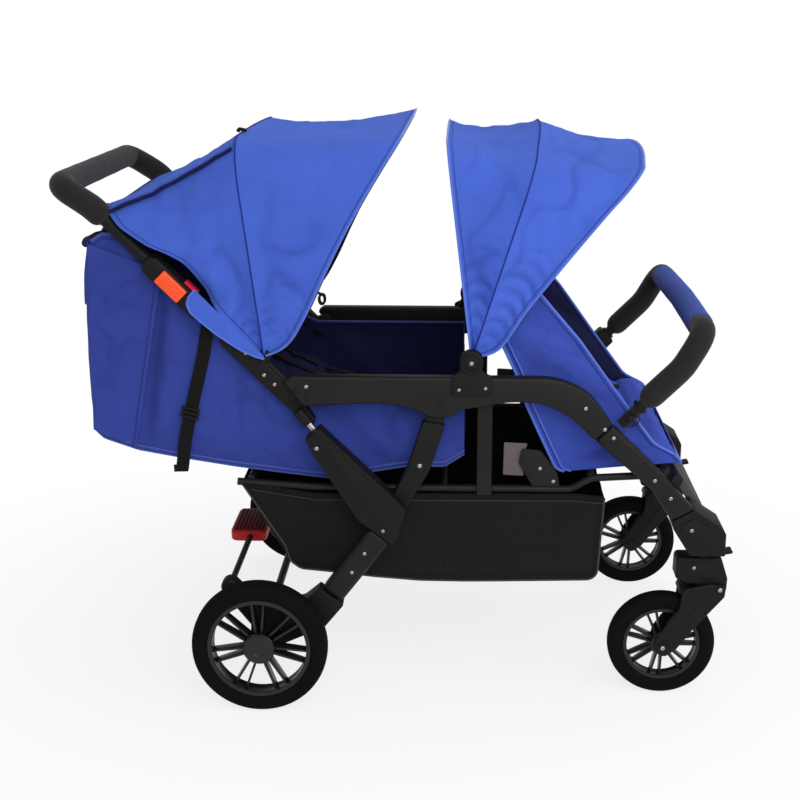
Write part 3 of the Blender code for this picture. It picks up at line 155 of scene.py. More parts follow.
class Value:
    """A shader socket that takes part in plain expressions."""

    def __init__(self, shader, socket):
        self.shader = shader
        self.socket = socket

    def math(self, operation, *others):
        return self.shader.node("ShaderNodeMath", {"operation": operation}, [self, *others])

    def __add__(self, other):
        return self.math("ADD", other)

    def __radd__(self, other):
        return self.math("ADD", other)

    def __sub__(self, other):
        return self.math("SUBTRACT", other)

    def __rsub__(self, other):
        return self.shader.node("ShaderNodeMath", {"operation": "SUBTRACT"}, [other, self])

    def __mul__(self, other):
        return self.math("MULTIPLY", other)

    def __rmul__(self, other):
        return self.math("MULTIPLY", other)

    def __pow__(self, other):
        return self.math("POWER", other)

    def __abs__(self):
        return self.math("ABSOLUTE")

    def sin(self):
        return self.math("SINE")

    def clamped(self, low, high):
        """0 below low, 1 above high and smooth between them."""
        return self.shader.node("ShaderNodeMapRange", {"interpolation_type": "SMOOTHSTEP", "clamp": True},
            {"Value": self, "From Min": low, "From Max": high})


class Shader:
    """One material with a Principled surface, whose nodes are added by type."""

    def __init__(self, name, colour, roughness, metallic=0.0, **constants):
        self.material = bpy.data.materials.new(name)
        self.material.use_nodes = True
        self.material.diffuse_color = (*colour, 1.0)
        self.tree = self.material.node_tree
        self.surface = self.tree.nodes["Principled BSDF"]
        for socket, value in {"Base Color": (*colour, 1.0), "Roughness": roughness, "Metallic": metallic,
                **constants}.items():
            self.surface.inputs[socket].default_value = value

    def node(self, kind, settings=None, inputs=(), output=0):
        """Add a node: its settings first, then its inputs by place or by name."""
        node = self.tree.nodes.new(kind)
        for key, value in (settings or {}).items():
            setattr(node, key, value)
        pairs = inputs.items() if isinstance(inputs, dict) else enumerate(inputs)
        for key, value in pairs:
            self.set(node.inputs[key], value)
        return Value(self, node.outputs[output])

    def set(self, socket, value):
        if isinstance(value, Value):
            self.tree.links.new(value.socket, socket)
        elif isinstance(value, (tuple, list)) and len(value) == 3 and socket.type == "RGBA":
            socket.default_value = (*value, 1.0)
        else:
            socket.default_value = value

    def place(self):
        return self.node("ShaderNodeTexCoord", output="Object")

    def uv(self):
        return self.node("ShaderNodeTexCoord", output="UV")

    def attribute(self, name):
        return self.node("ShaderNodeAttribute", {"attribute_name": name}, output="Fac")

    def axis(self, vector, index):
        return self.node("ShaderNodeSeparateXYZ", None, [vector], index)

    def noise(self, vector, scale, detail=3.0, roughness=0.5):
        return self.node("ShaderNodeTexNoise", None, {"Vector": vector, "Scale": scale, "Detail": detail,
            "Roughness": roughness})

    def wave(self, vector, scale, direction, distortion=0.0):
        return self.node("ShaderNodeTexWave", {"wave_type": "BANDS", "bands_direction": direction},
            {"Vector": vector, "Scale": scale, "Distortion": distortion, "Detail": 0.0})

    def blend(self, share, first, second):
        node = self.tree.nodes.new("ShaderNodeMix")
        node.data_type = "RGBA"
        self.set(node.inputs["Factor"], share)
        self.set(node.inputs[6], first if isinstance(first, Value) else (*first[:3], 1.0))
        self.set(node.inputs[7], second if isinstance(second, Value) else (*second[:3], 1.0))
        return Value(self, node.outputs[2])

    def bump(self, height, distance, strength=1.0):
        self.paint(Normal=self.node("ShaderNodeBump", None, {"Height": height, "Distance": distance,
            "Strength": strength}))

    def paint(self, **links):
        for socket, value in links.items():
            self.set(self.surface.inputs[socket.replace("_", " ")], value)


FINISHES = {}


def finish(name):
    """A material by name, made the first time it is asked for."""
    if name not in FINISHES:
        maker = coloured if name in PLASTICS else MAKERS.get(name, woven)
        FINISHES[name] = maker(name)
    return FINISHES[name]


def tinted(colour, factor):
    return tuple(min(1.0, c * factor) for c in colour)


def cloth(name, colour, shade, hem, weave=1500.0, depth=0.00022, soft=0.35):
    """Woven polyester: fine crossed threads, faint mottling, and a stitched line that runs along sewn edges; painted
    shade darkens its hem groove and its folds.
    """
    s = Shader(name, colour, 0.82, **{"Sheen Weight": soft, "Sheen Roughness": 0.45,
        "Sheen Tint": (*tinted(colour, 2.2), 1.0), "Specular IOR Level": 0.25})
    uv = s.uv()
    at = s.place()
    threads = s.wave(uv, weave, "X") * 0.5 + s.wave(uv, weave, "Y") * 0.5
    broad = s.noise(at, 9.0, 4.0)
    fine = s.noise(at, 220.0, 2.0)
    edge = s.attribute("edge")
    line = 1 - (abs(edge - hem) * 1000).clamped(0.35, 0.95)
    dash = s.wave(uv, 62.0, "X").clamped(0.18, 0.42)
    stitch = line * dash
    # Painted shade: the cloth in the groove beside the stitched line is darkened towards the seam colour, besides
    # being bumped in
    groove = 1 - (abs(edge - hem) * 1000).clamped(0.6, 2.4)
    mottled = s.blend(broad.clamped(0.25, 0.75), tinted(colour, 0.93), tinted(colour, 1.06))
    threaded = s.blend(threads * 0.2 + fine * 0.12, mottled, shade)
    groove_shaded = s.blend(groove * 0.35, threaded, shade)
    sewn = s.blend(stitch * 0.55, groove_shaded, tinted(colour, 0.55))
    # Painted shade: the fold attribute darkens the base colour in the folds and creases
    s.paint(Base_Color=s.blend(s.attribute("fold") * 0.62, sewn, shade), Roughness=0.76 + fine * 0.14)
    s.bump(threads * 0.25 + fine * 0.2 + stitch * 1.2 - groove * 2.2 + broad * 0.4, depth * 3)
    return s.material


def woven(name):
    """The six woven cloths. The seat cloth is a darker copy of the hood cloth, as painted shade; the wing cloth is a
    lighter copy of the seat cloth, as painted light; the lining's very dark navy is painted shade.
    """
    kit = cloth_kit()
    deep = tinted(kit.shade, 0.6)
    return cloth(name, *{"cloth": (tuple(kit.colour), tuple(kit.shade), kit.hem),
        "seat cloth": (tuple(kit.seat), deep, kit.hem, 1400.0), "wing cloth": (tinted(kit.seat, 1.45), deep,
        kit.hem, 1400.0), "lining": ((0.011, 0.013, 0.075), (0.003, 0.003, 0.02), kit.hem, 1200.0, 0.00022,
        0.1), "basket cloth": ((0.0042, 0.0042, 0.0045), (0.0012, 0.0012, 0.0013), 0.01, 1100.0, 0.00018,
        0.03), "sleeve": ((0.052, 0.088, 0.35), tuple(kit.shade), 0.004, 1100.0),}[name])


def yarn(name, colour, roughness, scale, low, high, **constants):
    s = Shader(name, colour, roughness, **constants)
    fine = s.noise(s.place(), scale)
    s.paint(Base_Color=s.blend(fine, tinted(colour, low), tinted(colour, high)))
    s.bump(fine, 0.0003)
    return s.material


def make_piping(name):
    # The dark piping, at 0.3 of the seam colour, is partly real piping and partly painted shade of the gap under the
    # vent flap's raised edges
    colour = tinted(cloth_kit().shade, 1.0 if name == "piping" else 0.3)
    return yarn(name, colour, 0.8, 400.0, 0.8, 1.5, **{"Specular IOR Level": 0.2})


def make_trim(name):
    kit = cloth_kit()
    # The seat trim takes the seat colour, a darker copy of the cloth colour as painted shade
    return yarn(name, tuple(kit.colour if name == "trim" else kit.seat), 0.75, 500.0, 0.85, 1.15,
        **{"Sheen Weight": 0.3})


def make_binding(name):
    s = Shader(name, (0.03, 0.03, 0.031), 0.7)
    ribs = s.wave(s.uv(), 300.0, "X")
    s.paint(Base_Color=s.blend(ribs, (0.022, 0.022, 0.023), (0.034, 0.034, 0.035)))
    s.bump(ribs, 0.0002)
    return s.material


def make_webbing(name):
    """Flat woven strap: ribs across it and fine lines along it."""
    s = Shader(name, (0.005, 0.005, 0.005), 0.75, **{"Sheen Weight": 0.04, "Specular IOR Level": 0.1})
    uv = s.uv()
    ribs = s.wave(uv, 180.0, "X")
    lines = s.wave(uv, 420.0, "Y")
    s.paint(Base_Color=s.blend(ribs * 0.5 + lines * 0.4, (0.0035, 0.0035, 0.0036), (0.009, 0.0088, 0.0086)))
    s.bump(ribs + lines * 0.5, 0.0004)
    return s.material


def make_paint(name):
    """Satin powder coat: fine orange peel and a faint cloudy tone."""
    kit = bpy.context.scene.stroller_frame
    colour = tuple(kit.colour)
    s = Shader(name, colour, 0.42, **{"Specular IOR Level": 0.18})
    at = s.place()
    peel = s.noise(at, 900.0, 2.0)
    cloud = s.noise(at, 14.0, 4.0)
    s.paint(Base_Color=s.blend(cloud.clamped(0.3, 0.7), tinted(colour, 0.9), tinted(colour, 1.15)),
        Roughness=0.4 + peel * 0.08 + cloud * 0.06)
    s.bump(peel, 0.00012)
    return s.material


def make_plastic(name):
    """Glass filled nylon: fine spark texture and faint flow marks."""
    kit = bpy.context.scene.stroller_frame
    colour = tuple(kit.plastic)
    s = Shader(name, colour, 0.5, **{"Specular IOR Level": 0.15})
    at = s.place()
    grain = s.noise(at, 1400.0, 2.0)
    flow = s.noise(at, 22.0, 3.0)
    s.paint(Base_Color=s.blend(grain * 0.6 + flow * 0.4, tinted(colour, 0.85), tinted(colour, 1.3)),
        Roughness=0.44 + grain * 0.14 + flow * 0.05)
    s.bump(grain, 0.00022)
    return s.material


def make_foam(name):
    """Closed cell foam: small pores over a soft mottling."""
    s = Shader(name, (0.0115, 0.0113, 0.0118), 0.88, **{"Sheen Weight": 0.1, "Specular IOR Level": 0.18})
    at = s.place()
    cells = s.node("ShaderNodeTexVoronoi", {"feature": "F1"}, {"Vector": at, "Scale": 900.0}, "Distance")
    soft = s.noise(at, 40.0, 4.0)
    s.paint(Base_Color=s.blend(soft * 0.6 + cells * 0.5, (0.0075, 0.0073, 0.0078), (0.016, 0.0157, 0.016)),
        Roughness=0.82 + soft * 0.12)
    s.bump(cells * 0.7 + soft * 0.3, 0.00035)
    return s.material


def make_tyre(name):
    """Rubber: crosswise tread lines on the crown, a smoother wall, and dust in the grooves."""
    axle, radius, track = (REAR_AXLE, 0.127, REAR_TRACK) if name.startswith("rear") else (FRONT_AXLE, 0.1016,
        FRONT_TRACK)
    colour = tuple(bpy.context.scene.stroller_wheel.rubber)
    s = Shader(name, colour, 0.86, **{"Specular IOR Level": 0.06})
    at = s.place()
    x = s.axis(at, 0) - axle[0]
    z = s.axis(at, 2) - axle[1]
    y = abs(abs(s.axis(at, 1)) - track / 2)
    around = s.node("ShaderNodeMath", {"operation": "ARCTAN2"}, [z, x])
    reach = (x * x + z * z) ** 0.5
    crown = reach.clamped(radius - 0.009, radius - 0.006)
    slots = (around * 110 + y * 420).sin().clamped(0.35, 0.7)
    grooves = (y * 1150).sin().clamped(0.55, 0.85)
    wall = (reach * 2600).sin().clamped(0.7, 0.95) * (1 - crown)
    grain = s.noise(at, 700.0)
    dust = s.noise(at, 30.0, 4.0)
    cut = crown * (slots * 0.8 + grooves * 0.6)
    s.paint(Base_Color=s.blend(cut * 0.5 + dust * 0.3, colour, tinted(colour, 1.6)),
        Roughness=0.8 + grain * 0.12)
    s.bump(grain * 0.15 - cut * 1.2 + wall * 0.35, 0.0009)
    return s.material


def make_gloss(name):
    s = Shader(name, (0.0065, 0.0063, 0.0062), 0.3, **{"Specular IOR Level": 0.3})
    at = s.place()
    haze = s.noise(at, 60.0, 4.0)
    fine = s.noise(at, 800.0)
    s.paint(Base_Color=s.blend(haze, (0.006, 0.006, 0.006), (0.011, 0.0108, 0.0106)),
        Roughness=0.24 + haze * 0.16)
    s.bump(fine, 0.00008)
    return s.material


# Colour and roughness of the plain plastics
PLASTICS = {"red plastic": ((0.46, 0.006, 0.006), 0.36), "pedal plastic": ((0.15, 0.003, 0.004), 0.62),
    "orange plastic": ((0.88, 0.085, 0.02), 0.36), "crimson plastic": ((0.56, 0.006, 0.028), 0.36),
    "footrest plastic": ((0.06, 0.057, 0.063), 0.55), "patch plastic": ((0.1, 0.08, 0.079), 0.6),}


def coloured(name):
    colour, roughness = PLASTICS[name]
    s = Shader(name, colour, roughness, **{"Specular IOR Level": 0.3})
    at = s.place()
    grain = s.noise(at, 1200.0)
    flow = s.noise(at, 40.0, 3.0)
    s.paint(Base_Color=s.blend(flow, tinted(colour, 0.86), tinted(colour, 1.1)),
        Roughness=roughness + grain * 0.12)
    s.bump(grain, 0.00012)
    return s.material


def make_steel(name):
    s = Shader(name, (0.34, 0.33, 0.32), 0.24, 1.0)
    at = s.place()
    drawn = s.node("ShaderNodeMapping", {"vector_type": "POINT"}, {"Vector": at, "Scale": (1, 1, 12)})
    scratch = s.noise(drawn, 300.0, 3.0)
    s.paint(Base_Color=s.blend(scratch, (0.26, 0.25, 0.24), (0.46, 0.45, 0.44)),
        Roughness=0.16 + scratch * 0.22)
    s.bump(scratch, 0.00005)
    return s.material


MAKERS = {"piping": make_piping, "dark piping": make_piping, "trim": make_trim, "seat trim": make_trim,
    "binding": make_binding, "webbing": make_webbing, "frame paint": make_paint, "moulding": make_plastic,
    "foam": make_foam, "screw steel": make_steel, "rear tyre rubber": make_tyre,
    "front tyre rubber": make_tyre, "wheel plastic": make_gloss,}


# Modelling helpers

def start():
    """Leave edit mode and let go of everything, so that the next operator acts on its own piece alone."""
    if bpy.context.object and bpy.context.object.mode != "OBJECT":
        bpy.ops.object.mode_set(mode="OBJECT")
    bpy.ops.object.select_all(action="DESELECT")


def pick(obj):
    start()
    obj.select_set(True)
    bpy.context.view_layer.objects.active = obj


def open_mesh():
    """Enter edit mode with all of the active mesh selected."""
    bpy.ops.object.mode_set(mode="EDIT")
    bpy.ops.mesh.select_all(action="SELECT")


def face_outwards():
    bpy.ops.mesh.select_all(action="SELECT")
    bpy.ops.mesh.normals_make_consistent(inside=False)


def close_mesh():
    """Turn the faces outwards and leave edit mode."""
    face_outwards()
    bpy.ops.object.mode_set(mode="OBJECT")


def round_edges(offset, segments, clamp=False):
    """Bevel the sharp edges of the mesh in edit mode."""
    bpy.ops.mesh.select_all(action="DESELECT")
    bpy.ops.mesh.select_mode(type="EDGE")
    bpy.ops.mesh.edges_select_sharp(sharpness=math.radians(50))
    bpy.ops.mesh.bevel(offset=offset, segments=segments, affect="EDGES", clamp_overlap=clamp)


def modified(obj, kind, **settings):
    """Add a modifier with its settings and apply it."""
    pick(obj)
    mod = obj.modifiers.new(kind.title(), kind)
    for key, value in settings.items():
        setattr(mod, key, value)
    bpy.ops.object.modifier_apply(modifier=mod.name)


def remove(obj):
    pick(obj)
    bpy.ops.object.delete()


def done(obj, name, look, angle):
    """Name a piece, close its faces outwards, smooth it and give it its finish."""
    pick(obj)
    open_mesh()
    bpy.ops.mesh.remove_doubles(threshold=0.00001)
    close_mesh()
    bpy.ops.object.transform_apply(location=True, rotation=True, scale=True)
    obj.name = name
    obj.data.name = name
    if not obj.data.materials:
        obj.data.materials.append(finish(look))
    bpy.ops.object.shade_smooth_by_angle(angle=math.radians(angle))
    return obj


def joined(pieces):
    """Join several meshes into the first one."""
    if len(pieces) == 1:
        return pieces[0]
    pick(pieces[0])
    for piece in pieces[1:]:
        piece.select_set(True)
    bpy.ops.object.join()
    return bpy.context.object


def fillet(corners, steps=5):
    """Round each (a, b, radius) corner of a closed outline and return its points."""
    points = []
    count = len(corners)
    for i, (a, b, radius) in enumerate(corners):
        here = Vector((a, b))
        back = Vector(corners[i - 1][:2]) - here
        ahead = Vector(corners[(i + 1) % count][:2]) - here
        if radius <= 0.0:
            points.append((a, b))
            continue
        half = back.angle(ahead) / 2
        reach = min(radius / math.tan(half), 0.48 * back.length, 0.48 * ahead.length)
        first = here + back.normalized() * reach
        last = here + ahead.normalized() * reach
        for k in range(steps + 1):
            t = k / steps
            p = first * (1 - t) ** 2 + here * 2 * t * (1 - t) + last * t ** 2
            points.append((p.x, p.y))
    return points


def stadium(a, b, ra, rb, steps=10):
    """The outline of two round ends joined by straight flanks."""
    a, b = Vector(a), Vector(b)
    run = b - a
    base = math.atan2(run.y, run.x)
    lean = math.acos(max(-1.0, min(1.0, (ra - rb) / run.length)))
    points = []
    for centre, radius, first, last in ((b, rb, base - lean, base + lean),
            (a, ra, base + lean, base - lean + math.tau)):
        for k in range(steps + 1):
            angle = first + (last - first) * k / steps
            points.append((centre.x + radius * math.cos(angle), centre.y + radius * math.sin(angle)))
    return points


def ring_points(centre, radius, steps=24):
    return [(centre[0] + radius * math.cos(math.tau * k / steps),
        centre[1] + radius * math.sin(math.tau * k / steps)) for k in range(steps)]


def sides(side, inner, outer):
    """The y range of a piece that lies between two distances from the middle, on one side."""
    return (side * outer, side * inner) if side < 0 else (side * inner, side * outer)


def along(point, angle, distance):
    return (point[0] + distance * math.cos(angle), point[1] + distance * math.sin(angle))


def arm_point(distance):
    """A point on the handle arm's straight stretch, measured up from its lower end."""
    return along((-0.25, 0.64), ARM_DIR, distance)


def plate(outline, y0, y1, edge=0.0, segments=3):
    """A flat outline in the XZ plane, extruded along Y, its rim bevelled."""
    start()
    bpy.ops.mesh.primitive_circle_add(vertices=len(outline), radius=1.0, fill_type="NGON")
    obj = bpy.context.object
    for vertex, (x, z) in zip(obj.data.vertices, outline):
        vertex.co = (x, y0, z)
    open_mesh()
    bpy.ops.mesh.extrude_region_move(TRANSFORM_OT_translate={"value": (0, y1 - y0, 0)})
    face_outwards()
    if edge:
        round_edges(edge, segments, True)
    bpy.ops.object.mode_set(mode="OBJECT")
    return obj


def turned(profile, centre, steps=48):
    """Spin a closed (radius, y) profile about the Y axis through centre = (x, z)."""
    start()
    bpy.ops.mesh.primitive_circle_add(vertices=len(profile), radius=1.0, fill_type="NOTHING")
    obj = bpy.context.object
    for vertex, (radius, y) in zip(obj.data.vertices, profile):
        vertex.co = (centre[0] + radius, y, centre[1])
    open_mesh()
    bpy.ops.mesh.spin(steps=steps, angle=math.tau, center=(centre[0], 0, centre[1]), axis=(0, 1, 0))
    bpy.ops.mesh.select_all(action="SELECT")
    bpy.ops.mesh.remove_doubles(threshold=0.00002)
    close_mesh()
    return obj


def slab(outline, side, inner, outer, edge=0.0, segments=3):
    """A plate between two distances from the stroller's middle, on one side."""
    return plate(outline, *sides(side, inner, outer), edge, segments)


def knob(centre, radius, y0, y1, edge=0.001, steps=32):
    """A round boss along Y with a rounded rim."""
    return plate(ring_points(centre, radius, steps), min(y0, y1), max(y0, y1), edge, 2)


def smooth_path(corners, steps=10):
    """Round each (x, y, z, radius) corner of an open path and return its points."""
    points = [Vector(corners[0][:3])]
    for i in range(1, len(corners) - 1):
        here = Vector(corners[i][:3])
        back = Vector(corners[i - 1][:3]) - here
        ahead = Vector(corners[i + 1][:3]) - here
        reach = min(corners[i][3] / math.tan(back.angle(ahead) / 2), 0.49 * back.length, 0.49 * ahead.length)
        first = here + back.normalized() * reach
        last = here + ahead.normalized() * reach
        for k in range(steps + 1):
            t = k / steps
            points.append(first * (1 - t) ** 2 + here * 2 * t * (1 - t) + last * t ** 2)
    points.append(Vector(corners[-1][:3]))
    return points


def mirrored(half):
    return half + [Vector((p.x, -p.y, p.z)) for p in reversed(half[:-1])]


def tube(path, radius, around=8, closed=False):
    """A round bar along a path, drawn as a bevelled curve and made a mesh. The radius may be a list."""
    start()
    bpy.ops.curve.primitive_nurbs_path_add()
    obj = bpy.context.object
    curve = obj.data
    curve.splines.clear()
    spline = curve.splines.new("POLY")
    spline.points.add(len(path) - 1)
    radii = radius if isinstance(radius, list) else [radius] * len(path)
    widest = max(radii)
    for point, place, size in zip(spline.points, path, radii):
        point.co = (*place, 1.0)
        point.radius = size / widest
    spline.use_cyclic_u = closed
    curve.dimensions = "3D"
    curve.bevel_depth = widest
    curve.bevel_resolution = around
    curve.use_fill_caps = not closed
    bpy.ops.object.convert(target="MESH")
    return bpy.context.object


def resampled(path, count):
    """Points at even distances along a path."""
    path = [Vector(p) for p in path]
    lengths = [0.0]
    for a, b in zip(path, path[1:]):
        lengths.append(lengths[-1] + (b - a).length)
    result = []
    i = 0
    for k in range(count):
        goal = lengths[-1] * k / (count - 1)
        while i < len(path) - 2 and lengths[i + 1] < goal:
            i += 1
        span = lengths[i + 1] - lengths[i]
        result.append(path[i].lerp(path[i + 1], (goal - lengths[i]) / span if span else 0.0))
    return result


def cut(obj, tool):
    """Take tool out of obj."""
    modified(obj, "BOOLEAN", operation="DIFFERENCE", solver="EXACT", object=tool)
    remove(tool)


def skin(rows, columns, shape, edges):
    """A sheet of cloth: shape(u, v) gives each point, with the strength of the painted shade in its folds there from 0
    to 1 where it has folds.

    Its UV is in metres, and its attributes hold the distance to its hems and the strength of the painted shade in its
    folds.
    The hems are named in edges: s and e for the start and end of u, u for both, v for both ends of v.
    """
    start()
    bpy.ops.mesh.primitive_grid_add(x_subdivisions=rows, y_subdivisions=columns, size=1.0)
    obj = bpy.context.object
    mesh = obj.data
    place = [(round((v.co.x + 0.5) * rows), round((v.co.y + 0.5) * columns)) for v in mesh.vertices]
    made = {key: tuple(shape(key[0] / rows, key[1] / columns)) for key in set(place)}
    points = {key: Vector(value[:3]) for key, value in made.items()}

    def runs(lines):
        """The distance of each point to the start and to the end of its line."""
        reach = {}
        for line in lines:
            total = [0.0]
            for a, b in zip(line, line[1:]):
                total.append(total[-1] + (points[b] - points[a]).length)
            reach.update({key: (length, total[-1] - length) for key, length in zip(line, total)})
        return reach

    across = runs([[(i, j) for j in range(columns + 1)] for i in range(rows + 1)])
    down = runs([[(i, j) for i in range(rows + 1)] for j in range(columns + 1)])
    layer = mesh.uv_layers.active.data
    for loop in mesh.loops:
        key = place[loop.vertex_index]
        layer[loop.index].uv = (down[key][0], across[key][0])
    distance = mesh.attributes.new("edge", "FLOAT", "POINT")
    # The fold attribute holds the strength of the painted shade in the folds
    folded = mesh.attributes.new("fold", "FLOAT", "POINT")
    for vertex, key in zip(mesh.vertices, place):
        vertex.co = points[key]
        near = [down[key][end] for end, names in ((0, "us"), (1, "ue")) if set(names) & set(edges)]
        if "v" in edges:
            near += across[key]
        distance.data[vertex.index].value = min(near, default=1.0)
        folded.data[vertex.index].value = made[key][3] if len(made[key]) > 3 else 0.0
    return obj


def strap(path, width, thickness, across):
    """Flat webbing along a path; across gives the direction of its width."""
    path = [Vector(p) for p in path]
    points = resampled(path, max(12, int(sum((b - a).length for a, b in zip(path, path[1:])) / 0.006)))
    across = Vector(across).normalized()
    count = len(points) - 1

    def shape(u, v):
        i = min(count, int(round(u * count)))
        ahead = (points[min(i + 1, count)] - points[max(i - 1, 0)]).normalized()
        wide = (across - ahead * across.dot(ahead)).normalized()
        return points[i] + wide * width * (v - 0.5)

    obj = skin(count, 4, shape, "v")
    thicken(obj, thickness, 0.0)
    return obj


def fresh(seed):
    """An offset into the noise, so that no two cloths fold alike."""
    return Vector((seed * 7.31, seed * 3.77, seed * 5.19))


def ripple(point, seed, size=0.09):
    """Broad soft unevenness of hanging cloth, from -1 to 1."""
    p = Vector(point) / size + fresh(seed)
    return noise.noise(p) * 0.75 + noise.noise(p * 2.3) * 0.35


def wrinkle(point, seed, size=0.07, width=0.13):
    """Narrow creases that wander over a cloth: 1 in a crease's middle, 0 away from it."""
    p = Vector(point) / size + fresh(seed)
    here = noise.noise(p) + 0.25 * noise.noise(p * 2.1)
    return max(0.0, 1 - abs(here) / width) ** 1.4 * max(0.0, min(1.0,
        0.5 + 1.6 * noise.noise(p * 0.5 + fresh(2))))


def smooth_table(table, x):
    """A value on the smooth curve through a table of (x, value) pairs."""
    if x <= table[0][0] or len(table) < 2:
        return table[0][1]
    if x >= table[-1][0]:
        return table[-1][1]
    i = max(k for k in range(len(table) - 1) if table[k][0] <= x)
    slope = []
    for k in (i, i + 1):
        ahead, back = table[min(k + 1, len(table) - 1)], table[max(k - 1, 0)]
        slope.append((ahead[1] - back[1]) / (ahead[0] - back[0]))
    (a, low), (b, high) = table[i], table[i + 1]
    k, span = (x - a) / (b - a), b - a
    return (low * (1 + 2 * k) * (1 - k) ** 2 + slope[0] * span * k * (1 - k) ** 2
        + high * k * k * (3 - 2 * k) + slope[1] * span * k * k * (k - 1))


SCREWS = []


def screw(x, y, z, side, body, size=1.0):
    """Remember a screw; all of a body's screws are made as one piece."""
    SCREWS.append((x, y, z, side, body, size))


# Side frames

def bodywork(name, look, body, node, parts, angle=30.0):
    """Join the parts of a piece, finish it, let it ride on its body and stand for its CAD node, if it has one."""
    obj = done(joined(parts), name, look, angle)
    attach(obj, body)
    if node:
        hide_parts(node)
    return obj


def side_rail(side, word, edge):
    """Deep side rail with a rounded front shoulder, a slot for the link strut and a small slot behind its screw."""
    px, pz = LINK_PIVOT
    outline = fillet([(-0.201, 0.622, 0.01), (-0.187, 0.632, 0.01), (0.29, 0.632, 0.13), (0.352, 0.606, 0.13),
        (0.393, 0.5465, 0.0), (0.363, 0.5155, 0.0), (0.318, 0.5615, 0.15), (0.262, 0.586, 0.15),
        (0.205, 0.5865, 0.2), (px + 0.04, pz - 0.012, 0.02), (px + 0.016, pz - 0.027, 0.014),
        (px - 0.016, pz - 0.027, 0.014), (px - 0.044, pz - 0.012, 0.02), (-0.026, 0.583, 0.06),
        (-0.164, 0.575, 0.01)], 9)
    rail = slab(outline, side, RAIL_INNER, RAIL_OUTER, edge, 4)
    cut(rail, slab([(px - 0.062, 0.52), (px + 0.075, 0.52), (px + 0.075, pz + 0.0185),
        (px - 0.062, pz + 0.0185)], side, RAIL_Y - 0.007, RAIL_Y + 0.007))
    cut(rail, slab(stadium((-0.1595, 0.601), (-0.1595, 0.589), 0.0028, 0.0028, 6), side, RAIL_OUTER - 0.002,
        RAIL_OUTER + 0.01))
    bodywork("rail_" + word, "frame paint", "chassis", "side_rail_" + word, [rail])
    for x, z in ((-0.1595, 0.613), (0.344, 0.577), (0.3796, 0.538)):
        screw(x, RAIL_OUTER, z, side, "chassis")


def link_and_gusset(side, word, edge):
    """Gusset with its long strut, which hinges in the rail's slot."""
    px, pz = LINK_PIVOT
    body = slab(fillet([(-0.1357, 0.5387, 0.002), (0.022, 0.385, 0.012), (0.006, 0.331, 0.01),
        (-0.0047, 0.3167, 0.0), (-0.0478, 0.3491, 0.0), (-0.066, 0.362, 0.01), (-0.15, 0.492, 0.012),
        (-0.1611, 0.5176, 0.002)], 6), side, 0.3, 0.336, 0.006, 4)
    strut = slab(fillet([(px - 0.031, pz - 0.034, 0.008), (px + 0.01, pz - 0.04, 0.008), (0.064, 0.455, 0.08),
        (0.016, 0.372, 0.004), (-0.014, 0.384, 0.004), (0.024, 0.464, 0.08)], 7), side, RAIL_INNER + 0.0005,
        RAIL_OUTER - 0.0005, edge, 4)
    tongue = slab(stadium(LINK_PIVOT, (px - 0.022, pz - 0.075), 0.0165, 0.015, 12), side, RAIL_Y - 0.006,
        RAIL_Y + 0.006, 0.001, 2)
    pin = knob(LINK_PIVOT, 0.005, side * (RAIL_INNER + 0.001), side * (RAIL_OUTER + 0.002), 0.0006, 20)
    rib = slab(fillet([(-0.118, 0.512, 0.004), (0.006, 0.388, 0.008), (-0.008, 0.34, 0.008),
        (-0.022, 0.344, 0.008), (-0.128, 0.5, 0.006)], 5), side, 0.334, 0.3372, 0.0012, 2)
    bodywork("gusset_" + word, "moulding", "rear_frame", "rear_gusset_" + word,
        [body, strut, tongue, pin, rib])
    screw(-0.141, 0.336, 0.5015, side, "rear_frame", 1.1)
    screw(-0.021, 0.336, 0.344, side, "rear_frame")
    screw(0.0455, RAIL_OUTER - 0.0005, 0.465, side, "rear_frame", 1.2)


def rear_leg(side, word):
    top, foot = Vector((-0.0264, 0.3326)), Vector((-0.118, 0.211))
    run = (foot - top).normalized()
    across = Vector((-run.y, run.x))
    top = top + run * 0.0003
    corners = [top + across * 0.0235, top - across * 0.0235, foot - across * 0.0225, foot + across * 0.0225]
    leg = slab([tuple(c) for c in corners], side, 0.304, 0.332, 0.0095, 6)
    bodywork("rear_tube_" + word, "frame paint", "rear_frame", "rear_leg_" + word, [leg])
    screw(-0.056, 0.332, 0.297, side, "rear_frame")
    screw(-0.08, 0.332, 0.259, side, "rear_frame")


